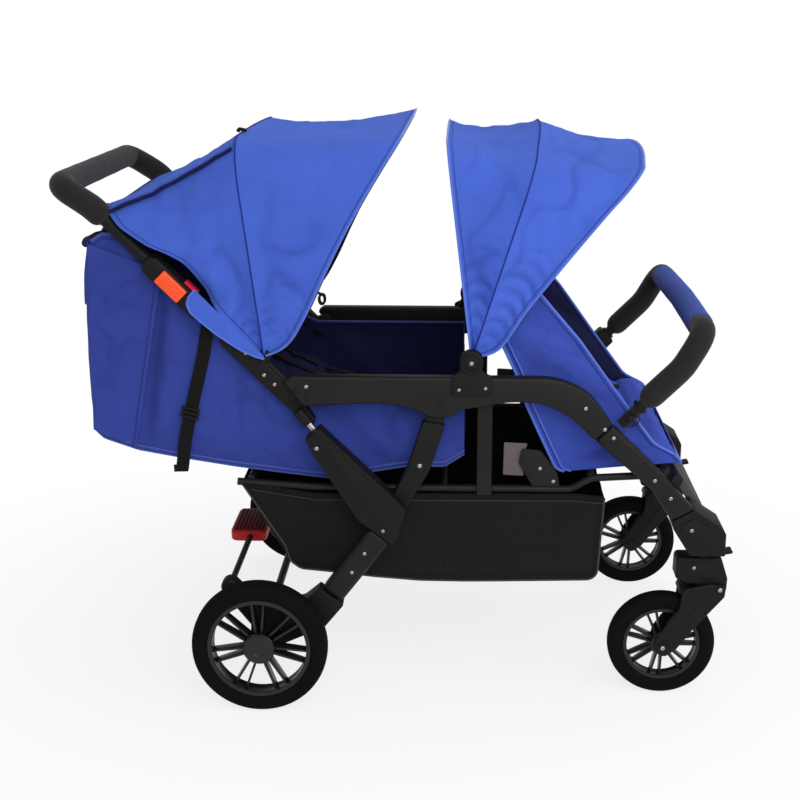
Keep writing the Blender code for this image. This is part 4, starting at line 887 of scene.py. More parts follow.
def rear_housing(side, word):
    """Moulding that joins the leg, the axle and the brake shaft, with an axle boss and three small ribs on its face.
    """
    ax, az = REAR_AXLE
    foot, top = Vector((-0.118, 0.211)), Vector((-0.0264, 0.3326))
    run = (foot - top).normalized()
    across = Vector((-run.y, run.x))
    mouth = foot + run * 0.0003
    a, b = mouth + across * 0.028, mouth - across * 0.028
    body = slab(fillet([(*a, 0.003), (ax + 0.118, az + 0.022, 0.02), (ax + 0.03, az - 0.018, 0.01),
        (ax - 0.006, az - 0.022, 0.02), (ax - 0.022, az + 0.01, 0.02), (ax - 0.02, az + 0.05, 0.02),
        (ax + 0.01, az + 0.072, 0.03), (ax + 0.078, az + 0.074, 0.02), (*b, 0.003)], 7), side, 0.3, 0.336,
        0.006, 4)
    arm = slab(stadium((ax, az + 0.03), BRAKE_AXIS, 0.022, 0.0165, 12), side, 0.302, 0.334, 0.006, 4)
    brow = slab(stadium((ax + 0.06, az + 0.056), (BRAKE_AXIS[0] + 0.024, BRAKE_AXIS[1] - 0.028), 0.016, 0.012,
        10), side, 0.304, 0.332, 0.005, 3)
    boss = knob(REAR_AXLE, 0.0165, side * 0.33, side * 0.3385, 0.0015)
    parts = [body, arm, brow, boss]
    for k in range(3):
        at = (ax + 0.036 + 0.02 * k, az + 0.052 - 0.004 * k)
        parts.append(slab(stadium(at, (at[0] + 0.022, at[1] - 0.03), 0.0022, 0.0016, 5), side, 0.3345, 0.3375,
            0.0006, 2))
    bodywork("axle_housing_" + word, "moulding", "rear_frame", "rear_housing_" + word, parts)
    screw(*(BRAKE_AXIS[0], 0.3335, BRAKE_AXIS[1]), side, "rear_frame", 1.1)


def front_leg(side, word):
    outline = fillet([(0.3936, 0.5455, 0.0), (0.474, 0.4675, 0.08), (0.5485, 0.3855, 0.0),
        (0.5085, 0.3632, 0.0), (0.466, 0.4255, 0.06), (0.3638, 0.5147, 0.0)], 9)
    leg = slab(outline, side, RAIL_INNER, RAIL_OUTER, 0.007, 5)
    px, pz = FOOTREST_PIVOT
    ear = slab(stadium(FOOTREST_PIVOT, (px - 0.014, pz - 0.026), 0.0105, 0.012, 10), side, 0.233,
        RAIL_INNER + 0.004, 0.002, 3)
    bodywork("front_tube_" + word, "frame paint", "chassis", "front_leg_" + word, [leg, ear])
    screw(0.396, RAIL_OUTER, 0.522, side, "chassis")
    screw(0.4735, RAIL_OUTER, 0.442, side, "chassis")
    screw(0.504, RAIL_OUTER, 0.408, side, "chassis")


def front_joint(side, word):
    body = slab(fillet([(0.509, 0.3625, 0.003), (0.5489, 0.385, 0.006), (0.603, 0.35, 0.01),
        (0.609, 0.338, 0.006), (0.609, 0.2955, 0.003), (0.5445, 0.2955, 0.006), (0.512, 0.347, 0.012)], 7),
        side, 0.236, RAIL_OUTER - 0.001, 0.006, 4)
    panel = slab(fillet([(0.5235, 0.356, 0.003), (0.5495, 0.37, 0.004), (0.594, 0.342, 0.008),
        (0.6, 0.306, 0.004), (0.552, 0.306, 0.006)], 6), side, RAIL_OUTER - 0.003, RAIL_OUTER + 0.0008, 0.001,
        2)
    skirt = tube([(0.577, side * 0.268, 0.2951), (0.577, side * 0.268, 0.301)], 0.0235, 14)
    bodywork("front_joint_cover_" + word, "moulding", "chassis", "front_joint_" + word, [body, panel, skirt])
    screw(0.545, RAIL_OUTER + 0.0006, 0.3465, side, "chassis")


def canopy_post(side, word):
    """Post on the rail with the round hub of the front hood: two rings and a screw."""
    x, z = FRONT_HUB
    inner = 0.3044
    plate_y = RAIL_OUTER + 0.0003
    cheek = slab(fillet([(x - 0.036, 0.6, 0.006), (x + 0.038, 0.6, 0.006), (x + 0.036, 0.637, 0.006),
        (x + 0.018, 0.645, 0.01), (x - 0.018, 0.645, 0.01), (x - 0.034, 0.637, 0.006)], 6), side, plate_y,
        plate_y + 0.006, 0.0018, 3)
    neck = slab(fillet([(x - 0.026, 0.6323, 0.002), (x + 0.026, 0.6323, 0.002), (x + 0.014, z, 0.0),
        (x - 0.014, z, 0.0)], 4), side, inner + 0.001, plate_y + 0.005, 0.0015, 2)
    hub = knob(FRONT_HUB, 0.0215, side * inner, side * (plate_y + 0.01), 0.002, 48)
    ring = turned([(0.0135, side * (plate_y + 0.009)), (0.0175, side * (plate_y + 0.009)),
        (0.017, side * (plate_y + 0.0118)), (0.014, side * (plate_y + 0.0118))], FRONT_HUB, 48)
    pin = knob(FRONT_HUB, 0.005, side * 0.2922, side * (inner + 0.003), 0.0005, 20)
    bodywork("hood_post_" + word, "moulding", "chassis", "canopy_post_" + word, [cheek, neck, hub, ring, pin])
    screw(x, plate_y + 0.01, z, side, "chassis", 1.1)
    screw(0.116, plate_y + 0.006, 0.611, side, "chassis", 0.85)
    screw(0.1636, plate_y + 0.006, 0.614, side, "chassis", 0.85)


# Handle

def handle_half(start):
    high, low = arm_point(0.41), arm_point(start)
    return [(low[0], -ARM_Y, low[1], 0), (high[0], -ARM_Y, high[1], 0.12),
        (-0.6, -ARM_Y + 0.004, 0.968, 0.055), (-0.6, 0, 0.968, 0)]


def handle_tubing():
    bow = tube(mirrored(smooth_path(handle_half(0.03), 14)), 0.012, 10)
    parts = [bow]
    for side in (-1, 1):
        parts.append(slab(stadium(arm_point(0.15), arm_point(0.262), 0.0175, 0.019, 14), side, ARM_Y - 0.018,
            ARM_Y + 0.0185, 0.006, 4))
        parts.append(slab(stadium(arm_point(0.16), arm_point(0.186), 0.01, 0.01, 12), side, ARM_Y + 0.017,
            ARM_Y + 0.0205, 0.001, 2))
    bodywork("handle_bow", "moulding", "handle", "handle_tube", parts)
    for side in (-1, 1):
        screw(arm_point(0.172)[0], ARM_Y + 0.0205, arm_point(0.172)[1], side, "handle", 1.1)


def handle_grip():
    """Foam sleeve: a closed tube with rounded lips, laid over the bow."""
    path = resampled(mirrored(smooth_path(handle_half(0.378), 16)), 150)
    ends = [0.55, 0.8, 0.93, 0.985, 1.0]
    radii = [0.0228 * (ends[min(i, len(path) - 1 - i)] if min(i, len(path) - 1 - i) < len(ends)
        else 1.0 + 0.012 * math.sin(i * 0.37) * math.sin(i * 0.11)) for i in range(len(path))]
    sleeve = tube(path, radii, 12)
    bodywork("grip_sleeve", "foam", "handle", "handle_foam", [sleeve], 50)


def handle_bracket(side, word):
    y_in, y_out = ARM_Y - 0.016, RAIL_INNER - 0.0005
    point = lambda d: along(ROD_SEAT, ROD_DIR, d)
    parts = [slab(stadium(arm_point(-0.078), arm_point(0.072), 0.0165, 0.0175, 12), side, y_in, y_out, 0.0045,
        4), slab(stadium(arm_point(0.01), REAR_HUB, 0.0165, 0.014, 12), side, y_in + 0.006, y_out - 0.0004,
        0.0025, 3), slab(stadium(arm_point(-0.062), HANDLE_PIVOT, 0.015, 0.0125, 12), side, y_in + 0.004,
        y_out - 0.0008, 0.0025, 3), slab(stadium(point(0.06), point(0.015), 0.014, 0.0095, 12), side,
        y_in + 0.002, y_out - 0.0012, 0.0025, 3), slab(stadium(point(0.019), point(0.041), 0.006, 0.006, 6),
        side, y_out - 0.006, RAIL_Y, 0.001, 2), tube([(point(d)[0], side * RAIL_Y, point(d)[1])
        for d in (0.015, 0.0165, 0.0445, 0.046)], [0.0093, 0.0105, 0.0105, 0.0093], 10),
        knob(HANDLE_PIVOT, 0.005, side * (y_out - 0.004), side * (RAIL_OUTER + 0.002), 0.0006, 20),
        knob(REAR_HUB, 0.005, side * (y_out - 0.004), side * 0.3, 0.0005, 20)]
    for d in (-0.052, -0.018, 0.016, 0.05):
        parts.append(knob(arm_point(d), 0.0085, side * (y_out - 0.003), side * (y_out + 0.0004), 0.0004, 24))
    bodywork("arm_bracket_" + word, "moulding", "handle", "handle_bracket_" + word, parts)
    for x, z in ((-0.286, 0.68), (-0.271, 0.668), (-0.239, 0.627), (-0.22, 0.6095)):
        screw(x, y_out + 0.0002, z, side, "handle")


def latch(side, word):
    """Orange trigger with finger ridges, and the crimson safety slider above it."""
    y = ARM_Y + 0.0188
    body = slab(fillet([(*along(arm_point(0.186), ARM_DIR + math.pi / 2, s * 0.014), 0.003) for s in (-1, 1)]
        + [(*along(arm_point(0.242), ARM_DIR + math.pi / 2, s * 0.014), 0.003) for s in (1, -1)], 5), side, y,
        y + 0.008, 0.0022, 3)
    parts = [body]
    for k in range(5):
        d = 0.195 + 0.0085 * k
        a, b = (along(arm_point(d), ARM_DIR + math.pi / 2, s * 0.0085) for s in (-1, 1))
        parts.append(slab(stadium(a, b, 0.0015, 0.0015, 5), side, y + 0.006, y + 0.0094, 0.0006, 2))
    bodywork("trigger_" + word, "orange plastic", "fold_trigger_" + word, "fold_trigger_" + word, parts)
    a = along(arm_point(0.172), ARM_DIR - math.pi / 2, 0.0182)
    b = along(arm_point(0.202), ARM_DIR - math.pi / 2, 0.0186)
    c, d = along(b, ARM_DIR - math.pi / 2, 0.006), along(a, ARM_DIR - math.pi / 2, 0.006)
    slider = slab(fillet([(*a, 0.0), (*b, 0.0), (*c, 0.003), (*d, 0.003)], 6), side, ARM_Y - 0.009,
        ARM_Y + 0.011, 0.0012, 3)
    bodywork("safety_strip_" + word, "crimson plastic", "safety_slider_" + word, "safety_slider_" + word,
        [slider])
    places = [along(ROD_SEAT, ROD_DIR, d) for d in (0.0003, 0.0014, 0.029, 0.03)]
    rod = tube([(x, side * RAIL_Y, z) for x, z in places], [0.005, 0.006, 0.006, 0.005], 10)
    bodywork("lock_pin_" + word, "screw steel", "lock_rod_" + word, "lock_rod_" + word, [rod])


# Wheels

def tyre(side, word, place, axle, radius, width, seat, track):
    """Tyre with a rounded shoulder, a moulded line on each wall and a flat crown."""
    y = side * track / 2
    w = width / 2
    depth = radius - seat
    half = [(seat, w * 0.7), (seat + depth * 0.12, w * 0.86), (seat + depth * 0.3, w * 0.97),
        (seat + depth * 0.46, w), (seat + depth * 0.5, w * 0.985), (seat + depth * 0.54, w),
        (seat + depth * 0.7, w * 0.985), (seat + depth * 0.8, w * 0.93), (seat + depth * 0.89, w * 0.81),
        (seat + depth * 0.955, w * 0.63), (seat + depth * 0.99, w * 0.4), (radius, w * 0.16)]
    profile = [(r, y + s) for r, s in half] + [(r, y - s) for r, s in reversed(half)]
    obj = turned(profile, axle, 96)
    bodywork("%s_tyre_dressed_%s" % (place, word), place + " tyre rubber", "%s_wheel_%s" % (place, word),
        "%s_tyre_%s" % (place, word), [obj], 40)


def rim(side, word, place, axle, seat, lip, width, track, hub, cap, spread, first, spoke_width):
    """Ring with rolled lips, seven pairs of spokes, and a hub with its cap."""
    y = side * track / 2
    w = width * 0.36
    ring = turned([(seat - 0.0003, y - w), (seat - 0.0003, y + w), (seat + 0.0006, y + w * 1.1),
        (lip + 0.003, y + w * 1.16), (lip + 0.0004, y + w * 1.1), (lip, y + w * 0.98),
        (lip + 0.0022, y + w * 0.55), (lip + 0.0024, y - w * 0.55), (lip, y - w * 0.98),
        (lip + 0.0004, y - w * 1.1), (lip + 0.003, y - w * 1.16), (seat + 0.0006, y - w * 1.1)], axle, 96)
    face, back = y + side * width * 0.52, y - side * width * 0.5
    core = turned([(0.0052, back), (0.0052, face - side * 0.006), (0.0004, face - side * 0.006),
        (0.0004, face - side * 0.001), (cap * 0.4, face - side * 0.001), (cap * 0.44, face - side * 0.0002),
        (cap * 0.8, face), (cap * 0.93, face - side * 0.0012), (cap, face - side * 0.004),
        (cap * 0.985, face - side * 0.007), (hub * 1.1, face - side * 0.01), (hub, face - side * 0.014),
        (hub * 0.97, y), (hub, back + side * 0.004), (hub * 0.96, back)], axle, 48)
    parts = [ring, core]
    start()
    bpy.ops.mesh.primitive_cube_add(size=1.0)
    pattern = bpy.context.object
    root, tip = hub - 0.003, (lip + 0.0012) * math.cos(spread)
    for vertex in pattern.data.vertices:
        far = vertex.co.x > 0
        reach = tip if far else root
        lean = lip * math.sin(spread) if far else hub * 0.22
        low, high = ((-0.24, 0.22) if far else (-0.34, 0.3))
        rise = (high if vertex.co.y > 0 else low) * width
        vertex.co = (reach, side * rise, lean + math.copysign(spoke_width / 2, vertex.co.z))
    open_mesh()
    bpy.ops.mesh.normals_make_consistent(inside=False)
    bpy.ops.mesh.subdivide(number_cuts=1)
    round_edges(0.0011, 2)
    bpy.ops.object.mode_set(mode="OBJECT")
    for pair in range(7):
        for lean in (-1, 1):
            copy = pattern.copy()
            copy.data = pattern.data.copy()
            bpy.context.collection.objects.link(copy)
            turn = Matrix.Rotation(-(math.radians(first) + math.tau * pair / 7), 4, "Y")
            flip = Matrix.Diagonal((1, 1, lean, 1))
            copy.data.transform(Matrix.Translation((axle[0], y, axle[1])) @ turn @ flip)
            if lean < 0:
                copy.data.flip_normals()
            parts.append(copy)
    remove(pattern)
    bodywork("%s_rim_dressed_%s" % (place, word), "wheel plastic", "%s_wheel_%s" % (place, word),
        "%s_rim_%s" % (place, word), parts)


# Casters

def caster(side, word):
    y = side * CASTER_Y
    kx, kz = KNUCKLE
    block = plate(fillet([(0.5255, 0.2815, 0.01), (0.6085, 0.2815, 0.004), (0.622, 0.24, 0.01),
        (0.621, 0.212, 0.01), (0.6, 0.208, 0.01), (0.58, 0.226, 0.01), (0.545, 0.229, 0.008),
        (0.5245, 0.24, 0.008)], 7), y - 0.0215, y + 0.0215, 0.0055, 4)
    collar = tube([(0.577, y, z) for z in (0.279, 0.29, 0.2935, 0.2945)], [0.0195, 0.019, 0.0185, 0.017], 14)
    stem = tube([(0.577, y, 0.285), (0.577, y, 0.3265)], 0.008, 8)
    cheek = plate(fillet([(0.536, 0.272, 0.006), (0.6, 0.272, 0.006), (0.61, 0.242, 0.006),
        (0.584, 0.236, 0.006), (0.545, 0.24, 0.006)], 5), *sorted((y + side * 0.02, y + side * 0.0222)),
        0.0008, 2)
    bodywork("caster_head_" + word, "moulding", "caster_" + word, "caster_block_" + word,
        [block, collar, stem, cheek])
    lever = plate(stadium((0.6035, 0.2845), (0.6275, 0.2895), 0.0027, 0.003, 8), y - 0.012, y + 0.012, 0.0011,
        3)
    bodywork("lever_" + word, "moulding", "swivel_lever_" + word, "swivel_lever_" + word, [lever])
    screw(0.5585, y * side + 0.022, 0.261, side, "caster_" + word)
    ax, az = FRONT_AXLE
    outline = fillet([(kx + 0.012, kz + 0.006, 0.01), (kx + 0.01, kz - 0.016, 0.01),
        (ax + 0.084, az + 0.072, 0.012), (ax + 0.053, az + 0.034, 0.02), (ax + 0.026, az - 0.004, 0.014),
        (ax + 0.004, az - 0.021, 0.012), (ax - 0.018, az - 0.006, 0.014), (ax - 0.013, az + 0.019, 0.014),
        (ax + 0.028, az + 0.08, 0.02), (ax + 0.032, az + 0.118, 0.008), (kx - 0.02, kz + 0.01, 0.01)], 7)
    parts = [plate(outline, *sorted((y + s * 0.0222, y + s * 0.0312)), 0.003, 4) for s in (-1, 1)]
    for s in (-1, 1):
        parts.append(plate(stadium((ax + 0.012, az + 0.01), (ax + 0.07, az + 0.084), 0.0055, 0.0075, 10),
            *sorted((y + s * 0.03, y + s * 0.0322)), 0.001, 2))
        parts.append(knob(FRONT_AXLE, 0.01, y + s * 0.03, y + s * 0.033, 0.0008, 28))
    parts.append(knob(KNUCKLE, 0.006, y - 0.0335, y + 0.0335, 0.0008, 24))
    parts.append(knob(FRONT_AXLE, 0.005, y - 0.0335, y + 0.0335, 0.0008, 24))
    parts.append(plate(fillet([(ax + 0.03, az + 0.119, 0.002), (ax + 0.026, az + 0.109, 0.002),
        (ax + 0.062, az + 0.097, 0.002), (ax + 0.068, az + 0.104, 0.002)], 4), y - 0.025, y + 0.025, 0.0015,
        2))
    bodywork("fork_blades_" + word, "moulding", "fork_" + word, "fork_" + word, parts)
    screw(kx, y * side + 0.0335, kz, side, "fork_" + word, 1.2)
    screw(ax, y * side + 0.0335, az, side, "fork_" + word, 1.2)


# Hoods

REAR_FRONT = dict(reach=0.466, crown=0.026, corner=0.05, swell=((0.0, 0.0), (0.012, 0.01), (0.026, 0.019),
    (0.042, 0.025), (0.065, 0.027), (0.12, 0.023), (0.18, 0.015), (0.26, 0.0065), (0.34, 0.0015), (0.4, 0.0)))
REAR_MID = dict(reach=0.389, crown=0.003, corner=0.085)
REAR_BACK = dict(reach=0.38, crown=0.02, corner=0.05, swell=((0.0, 0.0), (0.13, 0.0), (0.165, 0.009),
    (0.21, 0.015), (0.25, 0.009), (0.285, -0.005), (0.34, -0.016)))
FRONT_FRONT = dict(reach=0.456, crown=0.023, corner=0.07, swell=((0.01, 0.002), (0.02, 0.0105),
    (0.034, 0.019), (0.052, 0.0235), (0.08, 0.021), (0.13, 0.013), (0.2, 0.008), (0.28, 0.0035), (0.36, 0.0)))
FRONT_MID = dict(reach=0.378, crown=0.042, corner=0.09)
FRONT_BACK = dict(reach=0.388, crown=0.004, corner=0.07)


def rib(hub, angle, reach, crown, corner, start_at, drop=0.0, inward=0.0, swell=((0.0, 0.0),)):
    """One bow-shaped line of a hood, from its right hub over the top to its left hub.

    swell gives how far its two sides stand off the straight line at each distance from the hub.
    """
    half = HOOD_HALF - inward
    reach -= inward
    corner = max(corner - inward, 0.01)
    flat = half - corner
    up, bend, over = RIB_STEPS
    line = [(start_at + (reach - corner - start_at) * k / up, half) for k in range(up)]
    turns = [math.pi / 2 * k / bend for k in range(bend)]
    line += [(reach - corner + corner * math.sin(t), flat + corner * math.cos(t)) for t in turns]
    line += [(reach, flat * (1 - k / over)) for k in range(over + 1)]
    points = []
    for out, y in line:
        part = max(0.0, 1 - (y / flat) ** 2)
        heading = math.radians(angle + drop * part)
        off = smooth_table(swell, out) * max(0.0, 1 - part * 4)
        out += crown * part
        x = hub[0] + out * math.cos(heading) + off * math.sin(heading)
        z = hub[1] + out * math.sin(heading) - off * math.cos(heading)
        points.append(Vector((x, -y, z)))
    return mirrored(points)


# The hood's back line keeps clear of the latch here
LATCH_PLACES = [along(arm_point(0.165 + 0.009 * k), ARM_DIR - math.pi / 2, 0.018) for k in range(7)]


def hood_surface(hub, first, last, start_at, sag, rays, seed, drop=0.0, folds=1.0, hem=0.0):
    """The point of a hood panel at (u, v): u runs from its first bow to its last, v from the right hub to the left.

    rays gives the middle and width of the band where the cloth gathers near the hub, and the spacing of its folds.
    """
    depth = cloth_kit().folds
    a = rib(hub, first[0], start_at=start_at, **first[1])
    b = rib(hub, last[0], start_at=start_at, drop=drop, **last[1])
    count = len(a) - 1
    middle = Vector((hub[0], 0, hub[1]))

    def shape(u, v):
        i = min(count, round(v * count))
        p = a[i].lerp(b[i], u)
        edge = min(i, count - i) / count * 2
        away = 4 * u * (1 - u)
        pull = sag * 4 * u * (1 - u) * min(1.0, edge * 1.6)
        side_wall = 1.0 - min(1.0, max(0.0, (edge - 0.3) / 0.25))
        p = p + Vector((0, -math.copysign(side_wall, p.y) * pull, -(1 - side_wall) * pull))
        crease = (ripple((p.x, p.y * 0.6, p.z), seed, 0.085) - 0.35) * depth * folds * away
        crease += (ripple((p.x * 2.6, p.y, p.z * 0.8), seed + 5, 0.1) - 0.3) * depth * 0.7 * folds * away
        reach = (Vector((p.x, 0, p.z)) - middle).length
        lines = wrinkle((p.x * 1.1, p.y * 0.6, p.z * 0.8), seed + 2, 0.1, 0.17) * away
        centre, width, spacing = rays
        phase = math.tau * (reach + 0.018 * (u - 0.5) ** 2 * 4) / spacing + 1.6 * noise.noise(p * 9
            + fresh(seed))
        rings = bell(reach, centre, width) * (0.5 + 0.5 * math.cos(phase)) ** 2.6 * min(1.0,
            away * 1.6) * side_wall
        rings *= max(0.0, min(1.0, 0.75 + 1.4 * noise.noise(Vector((p.x * 14, p.y, p.z * 14))
            + fresh(seed + 1))))
        crease -= depth * (0.62 * lines * folds + 0.8 * rings)
        out = Vector((p.x - middle.x, p.y * 0.9, p.z - middle.z)).normalized()
        if side_wall > 0.5:
            out = Vector((0, math.copysign(1.0, p.y), 0))
        p = p + out * min(0.0, crease)
        if u < hem:
            p = p + out * 0.0008
        if last[1] is REAR_BACK:
            nearest = min((Vector((p.x, 0, p.z)) - Vector((x, 0, z))).length for x, z in LATCH_PLACES)
            p.y -= math.copysign(0.037 * bell(nearest, 0.0, 0.027) * min(1.0, u * 2), p.y)
        # The fourth value is painted shade: how much the base colour is darkened in the wrinkles and the gathered
        # rings
        return (*p, min(1.0, 0.55 * lines + 0.8 * rings))

    return shape, a, b


def flat_sheet(obj):
    """Remember how large the flat cloth is, before it gets its thickness."""
    layer = obj.data.uv_layers.active.data
    obj["cloth_width"] = max(l.uv.x for l in layer)
    obj["cloth_length"] = max(l.uv.y for l in layer)
    obj["cloth_area"] = sum(p.area for p in obj.data.polygons)


def away_from(obj, centre):
    """Turn a sheet's faces away from a point inside it."""
    centre = Vector(centre)
    if sum((p.center - centre).normalized().dot(p.normal) * p.area for p in obj.data.polygons) < 0:
        pick(obj)
        open_mesh()
        bpy.ops.mesh.flip_normals()
        bpy.ops.object.mode_set(mode="OBJECT")


def thicken(obj, thickness, offset=-1.0):
    """Give a sheet its thickness; where it has two finishes, the second is its inside."""
    modified(obj, "SOLIDIFY", thickness=thickness, offset=offset, use_even_offset=False,
        material_offset=max(0, len(obj.data.materials) - 1))


def hood(place, base, hub, front, middle, back, start_at, sags, drop, seed, rays):
    """Two panels of one hood with the seam between them, its front hem and its bow.

    front, middle and back are the angle and the form of its three lines. Returns the back panel's surface and those lines.
    """
    shape, front_line, _ = hood_surface(hub, front, middle, start_at, sags[0], rays, seed, hem=0.13)
    fore = cloth_panel(shape, 36, len(front_line) - 1, (hub[0] + 0.1, 0, hub[1] + 0.15), "cloth", "s")
    shape_back, seam_line, back_line = hood_surface(hub, middle, back, start_at, sags[1], rays, seed + 11,
        drop, 1.4)
    aft = cloth_panel(shape_back, 30, len(seam_line) - 1, (hub[0], 0, hub[1] + 0.15), "cloth", "e")
    moving = place + "_hood"
    low, high = (along(hub, math.radians(angle), 0.3) for angle in (middle[0], front[0]))
    settle([fore], place + "_hood_front", base, [place + "_canopy_front"],
        (base, moving, (low[0], 0.0, low[1]), (high[0], 0.0, high[1])))
    settle([aft], place + "_hood_back", base, [place + "_canopy_back"])
    seam = [p + (p - Vector((hub[0], p.y, hub[1]))).normalized() * 0.0004 for p in resampled(seam_line, 160)]
    bodywork(place + "_hood_seam", "piping", base, "", [tube(seam, 0.0014, 3)], 60)
    bodywork(place + "_hood_hem", "trim", moving, "", [tube(resampled(front_line, 160), 0.0018, 4)], 60)
    bow = rib(hub, front[0], start_at=0.006, inward=HOOD_HALF - 0.2962,
        **dict(front[1], reach=front[1]["reach"] - 0.003))
    parts = [tube(resampled(bow, 150), 0.0034, 5)]
    for side in (-1, 1):
        parts.append(slab(ring_points(hub, 0.012, 32), side, 0.2932, 0.2999, 0.0012, 2))
    bodywork(place + "_hood_bow", "moulding", moving, place + "_canopy_bow", parts)
    return shape_back, front_line, seam_line, back_line


def cloth_panel(shape, rows, columns, centre, look, edges="uv", thickness=None):
    """A sheet with its flat size noted, its faces turned away from centre, its thickness and its finishes."""
    obj = skin(rows, columns, shape, edges)
    for name in (look, "lining") if look in LINED else (look,):
        obj.data.materials.append(finish(name))
    flat_sheet(obj)
    away_from(obj, centre)
    thicken(obj, thickness or cloth_kit().thickness)
    return obj


def settle(sheets, name, body, nodes=(), crossing=None):
    area, length = (sum(sheet[fact] for sheet in sheets) for fact in ("cloth_area", "cloth_length"))
    width = max(sheet["cloth_width"] for sheet in sheets)
    obj = done(joined(sheets), name, "cloth", 60)
    if nodes:
        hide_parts(*nodes)
    min(area, width * length)
    if crossing:
        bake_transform(obj)
    else:
        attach(obj, body)


# Seats

TUB_TOP = [(-0.552, 0.866), (-0.53, 0.88), (-0.4989, 0.8789), (-0.4, 0.786), (-0.3, 0.69), (-0.22, 0.617),
    (-0.196, 0.606), (-0.06, 0.606), (0.06, 0.606), (0.126, 0.606)]
TUB_FOOT = [(-0.566, 0.512), (-0.548, 0.494), (-0.484, 0.472), (-0.4, 0.457), (-0.304, 0.442), (-0.2, 0.429),
    (-0.114, 0.4195), (-0.06, 0.4315), (0.026, 0.4465), (0.09, 0.446), (0.127, 0.47)]


def on_line(points, t):
    """A point at share t of the length of a polyline in the XZ plane."""
    lengths = [0.0]
    for a, b in zip(points, points[1:]):
        lengths.append(lengths[-1] + math.hypot(b[0] - a[0], b[1] - a[1]))
    goal = t * lengths[-1]
    for i in range(len(points) - 1):
        if goal <= lengths[i + 1] or i == len(points) - 2:
            return between(points[i], points[i + 1], (goal - lengths[i]) / (lengths[i + 1] - lengths[i]))


def between(a, b, share):
    return (a[0] + (b[0] - a[0]) * share, a[1] + (b[1] - a[1]) * share)


def bell(x, centre, width):
    return math.exp(-((x - centre) / width) ** 2)


def tub_side(side):
    """Side wall of the rear seat: long soft folds that fall from the arm, deepest behind the pocket's edge."""
    depth = cloth_kit().folds

    def shape(u, v):
        top, foot = on_line(TUB_TOP, u), on_line(TUB_FOOT, u)
        x = top[0] + (foot[0] - top[0]) * v
        z = top[1] + (foot[1] - top[1]) * v
        room = min(1.0, 4 * u * (1 - u) * 2.2) * min(1.0, 4 * v * (1 - v) * 1.6)
        edge = x - (-0.47 + (z - 0.531) * 0.158)
        swell = (0.0012 + 0.0062 * min(1.0, max(0.0, (edge + 0.006) / 0.02))) * room
        pleat = -0.01 * bell(edge, 0.01, 0.011) + 0.002 * bell(edge, 0.04, 0.018) - 0.0035 * bell(edge, 0.072,
            0.012)
        fall = math.sin((x * 0.9 + z * 0.42) * 58 + ripple((x, side, z), 3, 0.16) * 3.2) * depth * 0.6
        soft = ripple((x * 1.2, side * 2, z * 0.7), 8, 0.08) * depth * 1.1
        cross = ripple((x * 0.7 + z * 0.5, side, z * 1.6), 13, 0.055) * depth * 0.6
        creases = wrinkle((x * 1.1 + z * 0.5, side, z * 0.9 - x * 0.4), 17,
            0.085) + 0.7 * wrinkle((x * 0.6, side, z * 1.5 + x * 0.4), 19, 0.06)
        y = 0.2612 + swell + (min(0.0, fall) * 0.8 + soft * 0.6 + cross + pleat
            - creases * depth * 0.55) * room
        shadow = (0.85 * bell(edge, 0.01, 0.01) * bell(z, 0.64, 0.17) + 0.42 * creases) * room
        room_at_arm = 0.269 - 0.0082 * bell(abs(x + z - 0.424) * 0.7071, 0.0, 0.026)
        return (x, side * max(0.2576, min(y, room_at_arm)), z, min(1.0, shadow))

    return shape


def strip(outline, half, seed):
    """The wall that runs round an open outline, from the right side to the left."""
    depth = cloth_kit().folds

    def shape(u, v):
        x, z = on_line(outline, u)
        wave = ripple((x, v * 1.3, z), seed, 0.09) * depth * 0.8 * min(1.0, 4 * v * (1 - v) * 2)
        return (x + wave * 0.5, -half + 2 * half * v, z + wave * 0.5)

    return shape


def rear_tub():
    round_foot = fillet([(-0.552, 0.866, 0.0), (-0.561, 0.76, 0.1), (-0.566, 0.512, 0.02),
        (-0.484, 0.472, 0.06), (-0.304, 0.442, 0.06), (-0.114, 0.419, 0.04), (-0.06, 0.432, 0.04),
        (0.026, 0.447, 0.04), (0.09, 0.445, 0.03), (0.127, 0.47, 0.015), (0.126, 0.606, 0.0)], 6)
    walls = [cloth_panel(tub_side(side), 96, 40, (-0.2, 0, 0.6), "seat cloth", "v") for side in (-1, 1)]
    walls.append(cloth_panel(strip(round_foot, 0.2606, 21), 110, 44, (-0.2, 0, 0.62), "seat cloth", ""))
    settle(walls, "tub_cloth", "chassis", ["rear_seat_tub"])
    foot, top = ([on_line(line, k / 90) for k in range(91)] for line in (TUB_FOOT, TUB_TOP))
    pieces = []
    for side in (-1, 1):
        for line, y, lift, radius, around in ((foot, 0.2622, 0.0085, 0.0021, 4),
                (foot, 0.2618, 0.0003, 0.0014, 3), (top, 0.2612, 0.0, 0.0024, 4)):
            pieces.append(tube([(x, side * y, z + lift) for x, z in line], radius, around))
    bodywork("tub_piping", "seat trim", "chassis", "", pieces, 60)


